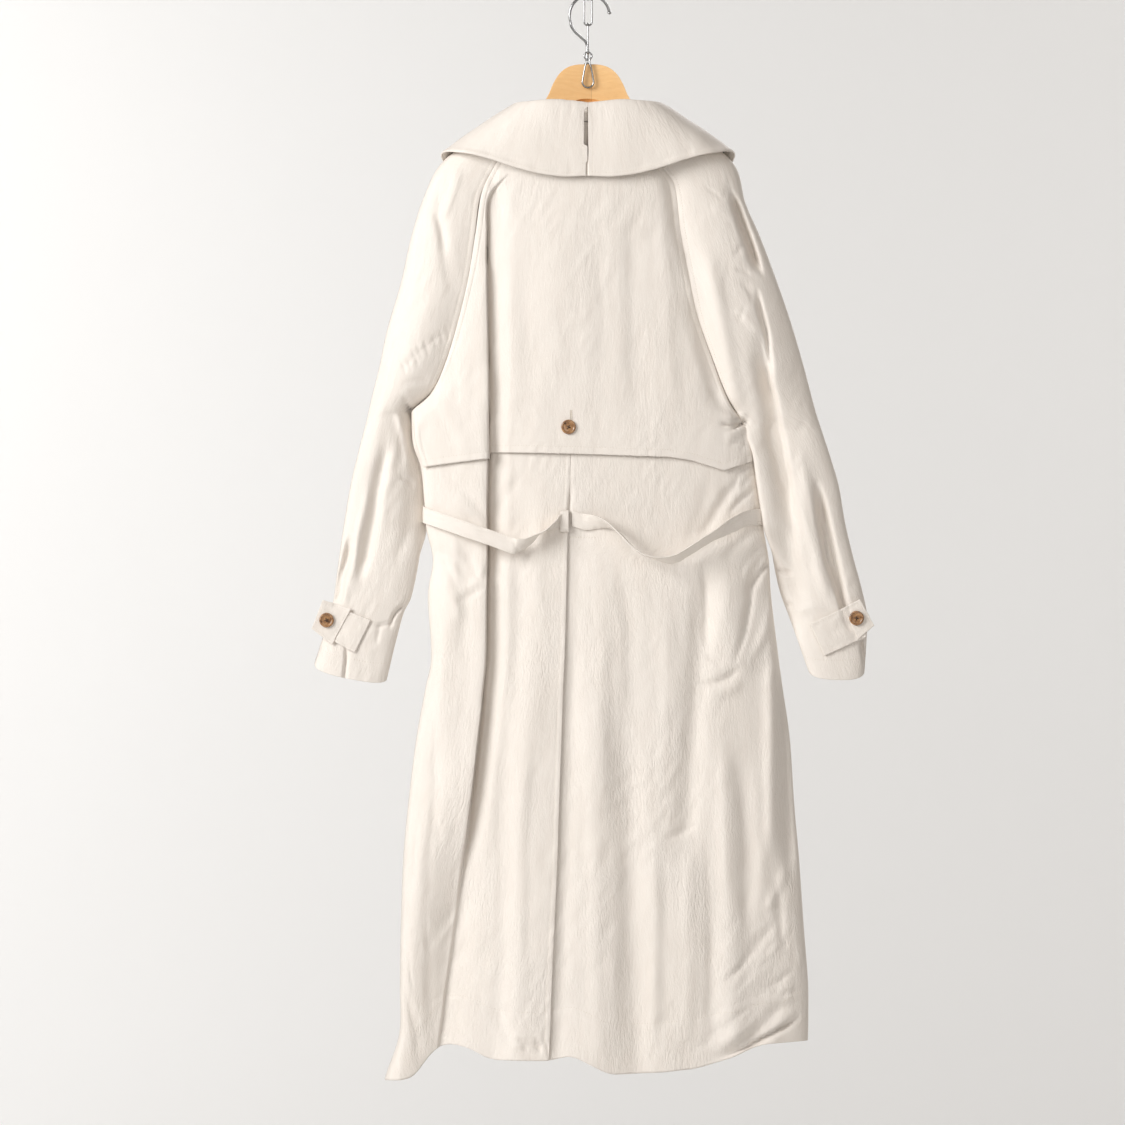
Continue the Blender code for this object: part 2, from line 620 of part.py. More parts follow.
def storm_flap():
    """The cape over the back, made from the back's own points moved out, down to its loose hem."""
    hem = columns_of(FLAP_HEM_COLUMNS, FLAP_HEM_ROWS)
    stations = [row for row in BODY_STATIONS if row <= 10]
    lines = []
    for row in stations + [10.4, 11]:
        left_half, right_half = back_left_columns(row), back_right_columns(row)
        inset = ease(row, 8.3, 9.5)
        columns = [left_half[0] + 4.5 * inset] + left_half[2:-1] + [through(SIDES["centre_x"], row)]
        columns += right_half[2:4] + right_half[5:-2] + [right_half[-1] - 2.5 * inset]
        line = []
        for x in columns:
            point = list(back_point(row, x))
            if row > 9.5:
                share = (row - 9.5) / 1.5
                start = -body_place(9.5, x)[0]
                end = -np.interp(x, hem["x"], hem["drop"])
                point[2] = start + share * (end - start)
            line.append(point)
        lines.append(line)
    base = np.array(lines)
    normals = panel_normals(base, -1)
    lift = np.array([FLAP_LIFT + 2.5 * ease(row, 8, 11) for row in stations + [10.4, 11]])
    outer = base + normals * lift[:, None, None]
    outer_normals = panel_normals(outer, -1)
    outer_normals[:, 0] = normals[:, 0]
    outer_normals[:, -1] = normals[:, -1]
    wall("storm_flap", outer, outer_normals, CLOTH_FINISH)


def sleeves():
    """Two-piece raglan sleeves, their pieces joined along the over-arm and the under-arm."""
    for side, sleeve in (("left", LEFT_SLEEVE), ("right", RIGHT_SLEEVE)):
        for part, facing, shares in (("back", -1, SLEEVE_SHARES), ("front", 1, SLEEVE_FRONT_SHARES)):
            grid = np.array([[sleeve_point(sleeve, side, row, share, facing) for share in shares]
                             for row in SLEEVE_STATIONS])
            grid[:, 0] -= edge_outward(grid, 0, 3) * SEAM_GAP / 2
            normals = panel_normals(grid, facing)
            wall("sleeve_%s_%s" % (side, part), grid, normals, CLOTH_FINISH, facing=facing)


def collar(side):
    """Half of the big collar: it stands on the neck edge, rolls over and falls on the shoulder."""
    sign = -1 if side == "left" else 1
    ring = np.stack([COLLAR["neck_x"], -COLLAR["neck_depth"]], axis=1)
    along = np.gradient(ring, axis=0)
    along[0] = (1, 0)
    along[-1] = (-1, 0)
    lines = []
    for i in range(len(COLLAR_ROWS)):
        value = {name: COLLAR[name][i] for name in COLLAR_COLUMNS}
        neck = np.array([value["neck_x"], -value["neck_depth"], 0.0])
        edge = np.array([value["edge_x"], -value["edge_depth"], -value["edge_drop"]])
        out = np.array([along[i][1], -along[i][0], 0.0]) / np.linalg.norm(along[i])
        swell = COLLAR_BULGE if value["neck_depth"] >= 0 else COLLAR_FRONT_BULGE
        up = np.array([0.0, 0.0, 1.0])
        centre = neck + out * COLLAR_ROLL + up * (-value["roll_drop"] - COLLAR_ROLL)
        line = [neck - up * value["neck_drop"]]
        line.append((line[0] + centre - out * COLLAR_ROLL) / 2)
        for turn in (180, 130, 90, 45):
            angle = math.radians(turn)
            line.append(centre + COLLAR_ROLL * (math.cos(angle) * out + math.sin(angle) * up))
        start = line[-1]
        for share in COLLAR_FALL_SHARES:
            bulge = swell * math.sin(math.pi * share ** 0.7) * out
            line.append(start + share * (edge - start) + bulge)
        lines.append(line)
    grid = np.array(lines)
    grid[:, :, 0] *= sign
    grid[:, :, 1] += HANGER_PLANE
    normals = grid_normals(grid)
    if normals[2, -2, 1] > 0:
        normals = -normals
    for end in (0, -1):
        normals[end, :, 0] = 0
        normals[end] /= np.linalg.norm(normals[end], axis=1, keepdims=True)
    wall("collar_" + side, grid, normals, CLOTH_FINISH)


def belt(side, rows):
    """One stretch of the belt, a band that hangs loose behind the waist."""
    table = columns_of(BELT_COLUMNS, rows)
    count = len(rows)
    centre = np.stack([table["x"], HANGER_PLANE - table["depth"], -table["drop"]], axis=1)
    along = np.gradient(centre, axis=0)
    lines = []
    for i in range(count):
        forward = along[i] / np.linalg.norm(along[i])
        out = np.cross((0, 0, 1), forward)
        out /= np.linalg.norm(out)
        if side == "right":
            out = -out
        tilt = math.radians(table["tilt"][i])
        across = math.cos(tilt) * np.array([0, 0, 1.0]) - math.sin(tilt) * out
        lines.append([centre[i] + share * BELT_WIDTH * across for share in (-0.5, 0, 0.5)])
    grid = np.array(lines)
    normals = grid_normals(grid)
    if normals[0, 1, 1] > 0:
        normals = -normals
    wall("belt_" + side, grid, normals, CLOTH_FINISH, thickness=BELT_THICKNESS)


def belt_keeper():
    """The loop at centre back that the belt runs through."""
    lines = []
    for drop, lift in KEEPER_ROWS:
        line = []
        for x in (KEEPER_X - KEEPER_HALF_WIDTH, KEEPER_X, KEEPER_X + KEEPER_HALF_WIDTH):
            surface = HANGER_PLANE - body_place(KEEPER_ROW, x)[1] - folds_at(BACK_FOLDS, x, drop)
            line.append((x, surface - CLOTH / 2 - lift, -drop))
        lines.append(line)
    grid = np.array(lines)
    normals = grid_normals(grid)
    if normals[2, 1, 1] > 0:
        normals = -normals
    wall("belt_keeper", grid, normals, CLOTH_FINISH, thickness=KEEPER_CLOTH)


def sleeve_depth_at(sleeve, side, x, drop):
    """Depth of the sleeve's back at a place given by x and drop."""
    low, high = UNDERARM, len(sleeve["in_x"]) - 1
    for _ in range(40):
        row = (low + high) / 2
        inner, outer = through(sleeve["in_x"], row), through(sleeve["out_x"], row)
        share = min(max((x - inner) / (outer - inner), 0.05), 0.95)
        point = sleeve_point(sleeve, side, row, share, -1)
        if -point[2] < drop:
            low = row
        else:
            high = row
    return HANGER_PLANE - point[1]


def cuff_strap(side, sleeve):
    """The strap round the cuff, lying on the sleeve's own points, with its button."""
    corners = dict(zip(STRAP_COLUMNS, (np.array(corner, float) for corner in STRAP_ROWS[side])))
    lines = []
    for down in STRAP_DOWN_SHARES:
        line = []
        for over in STRAP_OVER_SHARES:
            upper = corners["outer_top"] + over * (corners["inner_top"] - corners["outer_top"])
            lower = corners["outer_low"] + over * (corners["inner_low"] - corners["outer_low"])
            x, drop = upper + down * (lower - upper)
            depth = sleeve_depth_at(sleeve, side, x, drop)
            line.append((x, HANGER_PLANE - depth, -drop))
        lines.append(line)
    base = np.array(lines)
    grid = base + grid_facing(base, -1) * STRAP_LIFT
    wall("cuff_strap_" + side, grid, grid_facing(grid, -1), CLOTH_FINISH)
    x, drop = STRAP_BUTTONS[side]
    nearest = np.argsort(np.hypot(grid[:, :, 0] - x, grid[:, :, 2] + drop).ravel())[:6]
    around = grid.reshape(-1, 3)[nearest]
    normal = np.linalg.svd(around - around.mean(axis=0))[2][2]
    normal *= -np.sign(normal[1])
    height = around.mean(axis=0)[1]
    button("button_cuff_" + side, np.array((x, height, -drop)) + 0.5 * normal, normal)


def grid_facing(grid, facing):
    """Normals of a grid, turned so that they point to -Y or +Y."""
    normals = grid_normals(grid)
    if normals[:, :, 1].mean() * facing < 0:
        normals = -normals
    return normals


def button(name, centre, normal):
    """A horn button with a rolled rim and a dished middle; its back lies square to the normal."""
    mesh = bmesh.new()
    points = [mesh.verts.new((share * BUTTON_RADIUS * MM, 0, height * MM)) for share, height in BUTTON_ROWS]
    edges = [mesh.edges.new(pair) for pair in zip(points, points[1:])]
    bmesh.ops.spin(mesh, geom=points + edges, cent=(0, 0, 0), axis=(0, 0, 1), angle=2 * math.pi, steps=16)
    bmesh.ops.remove_doubles(mesh, verts=mesh.verts, dist=1e-6)
    bmesh.ops.recalc_face_normals(mesh, faces=mesh.faces)
    disc = finished(name, mesh, HORN_FINISH)
    disc.location = [value * MM for value in centre]
    disc.rotation_euler = Vector(normal).to_track_quat("Z", "Y").to_euler()
    return disc


def wire(name, points, diameter, finish, closed=False, origin=(0, 0, 0), sides=2):
    """A round wire along a line of points."""
    curve = bpy.data.curves.new(name, "CURVE")
    curve.dimensions = "3D"
    curve.bevel_depth = diameter / 2 * MM
    curve.bevel_resolution = sides
    curve.use_fill_caps = not closed
    line = curve.splines.new("POLY")
    line.points.add(len(points) - 1)
    for place, point in zip(line.points, points):
        place.co = [(value - base) * MM for value, base in zip(point, origin)] + [1]
    line.use_cyclic_u = closed
    thing = bpy.data.objects.new(name, curve)
    thing.location = [value * MM for value in origin]
    bpy.context.scene.collection.objects.link(thing)
    curve.materials.append(material_of(name, finish))
    return thing


def arc(centre, radius, start, end, steps):
    """Points of an arc in the x-z plane, angles in degrees from +X towards +Z."""
    angles = [math.radians(start + (end - start) * i / steps) for i in range(steps + 1)]
    return [(centre[0] + radius * math.cos(a), centre[1] + radius * math.sin(a)) for a in angles]


def hanger():
    """The wooden hanger and its swivel hook."""
    xs = np.concatenate([-HANGER["x"][:0:-1], HANGER["x"]])
    drops = np.concatenate([HANGER["drop"][:0:-1], HANGER["drop"]])
    heights = np.concatenate([HANGER["height"][:0:-1], HANGER["height"]])
    half = WOOD_THICKNESS / 2
    mesh = bmesh.new()
    rings = []
    for x, drop, height in zip(xs, drops, heights):
        cut = min(WOOD_CHAMFER, height / 3)
        low = drop + height
        section = ((half - cut, drop), (half, drop + cut), (half, low - cut), (half - cut, low),
                   (cut - half, low), (-half, low - cut), (-half, drop + cut), (cut - half, drop))
        rings.append([mesh.verts.new((x * MM, (HANGER_PLANE + y) * MM, -z * MM)) for y, z in section])
    for first, second in zip(rings, rings[1:]):
        for k in range(8):
            mesh.faces.new((first[k], first[(k + 1) % 8], second[(k + 1) % 8], second[k]))
    mesh.faces.new(rings[0])
    mesh.faces.new(rings[-1])
    bmesh.ops.triangulate(mesh, faces=mesh.faces)
    bmesh.ops.recalc_face_normals(mesh, faces=mesh.faces)
    finished("hanger_bar", mesh, WOOD_FINISH)

    centre_z = -PRONG_DROP + PRONG_BAR / 2 + HOOK_WIRE / 2 + SEAM_GAP - HOOK_BOW
    path = arc((HOOK_CENTRE_X, centre_z), HOOK_BOW, 8, 200, 16)
    path += [(x, centre_z - below) for x, below in SHANK_ROWS]
    path.append((SHANK_ROWS[-1][0], -HANGER["drop"][0] + SEAM_GAP))
    wire("hanger_hook", [(x, HANGER_PLANE, z) for x, z in path], HOOK_WIRE, STEEL_FINISH)


def wall_hook():
    """The hook screwed to the wall: a plate and one round prong with an upturned end."""
    mesh = bmesh.new()
    bmesh.ops.create_cube(mesh, size=1)
    bmesh.ops.scale(mesh, vec=[size * MM for size in PLATE_SIZE], verts=mesh.verts)
    bmesh.ops.translate(mesh, vec=(0, -PLATE_SIZE[1] / 2 * MM, 0), verts=mesh.verts)
    plate = finished("wall_hook", mesh, STEEL_FINISH)
    path = [(0, -depth, -drop) for depth, drop in PRONG_ROWS]
    prong = wire("prong_guide", path, PRONG_BAR, STEEL_FINISH)
    prong.hide_render = True
    prong.display_type = "WIRE"
    joined = bpy.context.evaluated_depsgraph_get()
    data = bpy.data.meshes.new_from_object(prong.evaluated_get(joined))
    solid = bpy.data.objects.new("prong_solid", data)
    solid.hide_render = True
    solid.display_type = "WIRE"
    bpy.context.scene.collection.objects.link(solid)
    bpy.data.objects.remove(prong)
    union = plate.modifiers.new("prong", "BOOLEAN")
    union.operation = "UNION"
    union.solver = "EXACT"
    union.object = solid


def link_line(top, low, half_width):
    """Centre line of a chain link as (across, z) pairs."""
    upper = arc((0, -top - half_width), half_width, 0, 180, 8)
    lower = arc((0, -low + half_width), half_width, 180, 360, 8)
    return upper + lower


def chain():
    """The tail of chain before the hanger: two links and a wire clip, each free to swing."""
    upper_axis = (0, CHAIN_PLANE, -PRONG_DROP)
    lower_axis = (0, CHAIN_PLANE, -LINK_UPPER_LOW)
    clip_axis = (0, CHAIN_PLANE, -LINK_LOWER_LOW)
    upper = [(x, CHAIN_PLANE, z) for x, z in link_line(LINK_UPPER_TOP, LINK_UPPER_LOW, LINK_HALF_WIDTH)]
    wire("chain_link_upper", upper, CHAIN_WIRE, STEEL_FINISH, True, upper_axis)
    lower = [(0, CHAIN_PLANE + y, z) for y, z in link_line(LINK_LOWER_TOP, LINK_LOWER_LOW, LINK_HALF_WIDTH)]
    wire("chain_link_lower", lower, CHAIN_WIRE, STEEL_FINISH, True, lower_axis)
    bulb = arc((0, -CLIP_LOW + CLIP_BULB_RADIUS), CLIP_BULB_RADIUS, 15, -195, 12)
    eye = arc((0, -CLIP_TOP - CLIP_EYE_RADIUS), CLIP_EYE_RADIUS, 235, -55, 12)
    waist = -CLIP_WAIST
    path = [(-1.6, waist + 3.2)] + eye + [(1.6, waist + 3.2)]
    path += [(3.6, waist - 3), (5.2, waist - 11)] + bulb + [(-5.2, waist - 11), (-3.6, waist - 3)]
    wire("snap_clip", [(x, CHAIN_PLANE, z) for x, z in path], CHAIN_WIRE, STEEL_FINISH, True, clip_axis)


def surface_button(name, row, x, facing, lift):
    """Places a button on the back or the front, square to the cloth under it."""
    place = back_point if facing < 0 else front_point
    reach = BUTTON_RADIUS
    above, below = (np.array(place(row + turn, x)) for turn in (-0.15, 0.15))
    before, after = (np.array(place(row, x + turn)) for turn in (-reach, reach))
    normal = np.cross(above - below, after - before)
    normal *= facing * np.sign(normal[1]) / np.linalg.norm(normal)
    button(name, np.array(place(row, x)) + lift * normal, normal)


def build():
    """Builds the whole coat with what holds it."""
    for thing in list(bpy.data.objects):
        bpy.data.objects.remove(thing)
    back_panels()
    front_panels()
    storm_flap()
    sleeves()
    for side in ("left", "right"):
        collar(side)
    belt("left", LEFT_BELT_ROWS)
    belt("right", RIGHT_BELT_ROWS)
    belt_keeper()
    surface_button("button_flap", FLAP_BUTTON_ROW, FLAP_BUTTON_X, -1, FLAP_LIFT + 1.5)
    for side, sleeve in (("left", LEFT_SLEEVE), ("right", RIGHT_SLEEVE)):
        cuff_strap(side, sleeve)
    places = [(row, x) for row in FRONT_BUTTON_ROWS for x in FRONT_BUTTONS_X]
    for i, (row, x) in enumerate(places):
        surface_button("button_front_%d" % (i + 1), row, x, 1, 0.5)
    hanger()
    wall_hook()
    chain()


build()
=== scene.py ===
"""The looks of a long crinkled trench coat that hangs, back outwards, from a wooden hanger and a wall hook.

Tables give sizes in millimetres in the frame of the solids: x across, drop downwards from the
wall hook's plate, depth away from the plane in which the hanger lies.
"""
import math

import bmesh
import bpy
import numpy as np
from mathutils import Matrix, Vector


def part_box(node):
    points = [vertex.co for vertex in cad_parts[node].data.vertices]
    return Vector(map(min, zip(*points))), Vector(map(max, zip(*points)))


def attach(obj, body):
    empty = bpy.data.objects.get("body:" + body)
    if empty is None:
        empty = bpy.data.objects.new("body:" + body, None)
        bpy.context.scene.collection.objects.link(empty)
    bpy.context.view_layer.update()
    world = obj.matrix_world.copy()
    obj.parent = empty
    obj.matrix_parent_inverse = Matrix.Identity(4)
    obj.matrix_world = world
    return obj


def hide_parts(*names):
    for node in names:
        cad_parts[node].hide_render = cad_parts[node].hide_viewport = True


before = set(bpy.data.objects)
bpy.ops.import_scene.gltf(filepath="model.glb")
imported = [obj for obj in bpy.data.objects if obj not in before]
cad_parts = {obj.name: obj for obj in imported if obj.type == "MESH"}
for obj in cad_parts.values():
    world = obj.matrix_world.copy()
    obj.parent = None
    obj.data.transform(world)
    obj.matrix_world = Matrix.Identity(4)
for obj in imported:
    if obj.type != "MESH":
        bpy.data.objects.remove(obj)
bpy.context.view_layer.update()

MM = 0.001

# The solids' walls are CLOTH thick, the shells that stand for them here SHELL
CLOTH = 2.0
SHELL = 1.1
SEAM_GAP = 0.3
HANGER_PLANE = -45.0
CHAIN_PLANE = -56.0
PRONG_DROP = 45.0
EDGE_DEPTH = 0.2
FRONT_SHARE = 0.85
ROUNDNESS = 2.7
FLAP_LIFT = CLOTH + 1.2
FLAP_FREE_ROW = 9.5
FLAP_HEM_ROWS = 1.5
FLAP_INSET = 4.5
VENT_DROP = 717.0
VENT_LAP = 38.0
VENT_DIP = CLOTH + 1.2
FRONT_LAP = 45.0
SEAM_LAP = 4.0
FRONT_NECK_DIP = 42.0
CELL = 3.0
FRONT_CELL = 4.2


def columns_of(names, rows):
    """A table's columns by name."""
    return {name: np.array([row[i] for row in rows], float) for i, name in enumerate(names.split())}


# Sleeves from neck to cuff, as in the solids: the first ten inner points are the raglan seam
UNDERARM = 9
SLEEVE_COLUMNS = "in_x in_drop out_x out_drop seam_depth swell"
LEFT_SLEEVE = columns_of(SLEEVE_COLUMNS, (
    (-84, 201, -90, 193, 30, 0), (-100, 227, -136, 216, 29, 0), (-117, 256, -183, 250, 28, 0),
    (-134, 292, -205, 292, 27, 2), (-141, 340, -221, 342, 26, 4), (-149, 393, -234, 400, 25, 6),
    (-163, 452, -251, 458, 23, 9), (-178, 500, -261, 505, 18, 12), (-196, 538, -270, 541, 10, 14),
    (-221, 560, -277, 571, 0, 16), (-224, 600, -286, 606, 0, 17), (-213.5, 640, -296, 648, 0, 18),
    (-209.5, 700, -305, 700, 0, 18), (-209.5, 735, -312, 750, 0, 18), (-220, 790, -319, 800, 0, 17),
    (-232, 818, -328, 832, 0, 17), (-251, 893, -342, 875, 0, 18),
))
RIGHT_SLEEVE = columns_of(SLEEVE_COLUMNS, (
    (86, 201, 91, 192, 30, 0), (89, 228, 137, 214, 29, 0), (93, 256, 183, 252, 28, 0),
    (108, 280, 197, 300, 27, 2), (115, 335, 216, 344, 26, 4), (125, 388, 237, 400, 25, 6),
    (136, 440, 254, 450, 23, 9), (155, 495, 270, 505, 18, 12), (176, 548, 284, 558, 10, 14),
    (200, 581, 293, 586, 0, 16), (212, 612, 304, 620, 0, 17), (218, 650, 314, 655, 0, 18),
    (224.5, 692, 321, 697, 0, 18), (231.5, 745, 331, 740, 0, 18), (240, 785, 343, 785, 0, 17),
    (252, 818, 349, 820, 0, 17), (275, 880, 346, 882, 0, 18),
))
CUFF_DIP = {"left": 11.0, "right": 15.0}

# The body above the underarm has a row for each row of the raglan seam
YOKE = columns_of("swell pleat_x centre_x", (
    (5, -55, 0), (6, -70, 0), (7, -92, -2), (8, -126, -4), (9, -130, -7), (10, -131, -11),
    (12, -130, -14), (16, -129, -17), (24, -129, -19), (33, -129, -20),
))
BODY = columns_of("drop left right swell pleat_x centre_x", (
    (600, -219, 206.5, 33, -129, -21), (631, -209, 209.5, 33, -129, -22),
    (671, -205, 214, 32, -130, -23), (708, -202, 219.5, 32, -130, -25), (746, -194, 226, 33, -130, -26),
    (792, -200, 229, 34, -131, -27), (866, -196, 238, 35, -132, -29), (910, -204, 244, 36, -136, -31),
    (971, -215, 252.5, 37, -143, -33), (1053, -225, 258, 38, -152, -36),
    (1121, -231, 264, 38, -159, -38), (1207, -234, 270, 39, -168, -42),
    (1271, -235, 275, 39, -178, -45), (1320, -236, 275.5, 39, -184, -47),
    (1352, -254, 275, 40, -188, -49),
))
HEM_ROW = UNDERARM + len(BODY["drop"])
HEM_START_ROW = HEM_ROW - 3
HEM = columns_of("x drop", (
    (-254, 1395), (-225, 1394), (-212, 1386), (-196, 1359), (-177, 1349), (-152, 1353), (-121, 1369),
    (-49, 1370), (-21, 1363), (5, 1376), (27, 1387), (94, 1384), (137, 1379), (180, 1365), (212, 1350),
    (275, 1346),
))
FLAP_HEM = columns_of("x drop", (
    (-212, 631), (-128, 620), (-120, 612), (-20, 614), (100, 618), (128, 622), (170, 635), (210, 621),
))

# Section across the long pleat at the left of the back, and its depth at each row
PLEAT_ACROSS = columns_of("offset share", (
    (-46, 0), (-18, 0.16), (-4, 0.28), (1, 0.2), (3.2, -1.75), (5.6, -1.75), (9.5, -1.05), (34, -0.3),
    (78, 0),
))
PLEAT_LOW = columns_of("offset share", (
    (-90, 0.3), (-66, 0.5), (-52, 0.72), (-34, 0.25), (-15, -0.38), (-3, -0.78), (2, -1), (22, -0.82),
    (53, -0.5), (90, -0.12), (112, 0),
))
PLEAT_SPREAD_DROPS = (1000, 1180)
PLEAT_LIP = 3.5
PLEAT_DEPTH = columns_of("row depth", (
    (2.3, 0), (3.3, 6), (5, 8.5), (9, 10.5), (12, 12), (17, 14), (21, 16), (24, 17),
))

# Large soft folds, as in the solids: valleys have a rise below zero
FOLD_COLUMNS = "top_x top_drop low_x low_drop width rise"
BACK_FOLDS = columns_of(FOLD_COLUMNS, (
    (147, 736, 119, 1140, 14, -6.5), (46, 880, 64, 1450, 18, -6.5), (3, 846, 15, 1450, 18, 4.5),
    (171, 946, 184, 1450, 18, 5), (229, 821, 227, 1134, 8, 5), (243, 846, 252, 1160, 8, -7),
    (255, 1290, 160, 1375, 13, -7), (-166, 646, -184, 1010, 16, 4), (-72, 796, -91, 1450, 20, 3.6),
    (-100, 921, -118, 1450, 14, -3), (146, 346, 190, 583, 12, 6), (127, 402, 168, 571, 10, -4),
    (184, 646, 140, 721, 8, -4), (178, 746, 186, 900, 18, 4), (-249, 590, -288, 780, 8, -12),
    (-238, 571, -303, 800, 8, 4), (180, 285, 213, 390, 5, -11), (284, 640, 328, 842, 4.6, -12),
    (262, 596, 302, 810, 8, 4),
))
FRONT_FOLDS = columns_of(FOLD_COLUMNS, (
    (-150, 300, -168, 560, 14, -4), (120, 320, 150, 600, 14, -4), (-130, 700, -150, 1450, 18, -6),
    (-90, 780, -96, 1450, 16, 5), (140, 700, 168, 1450, 18, -6), (190, 820, 205, 1450, 16, 5),
    (-252, 600, -290, 800, 9, -5), (270, 610, 305, 810, 9, -5),
))

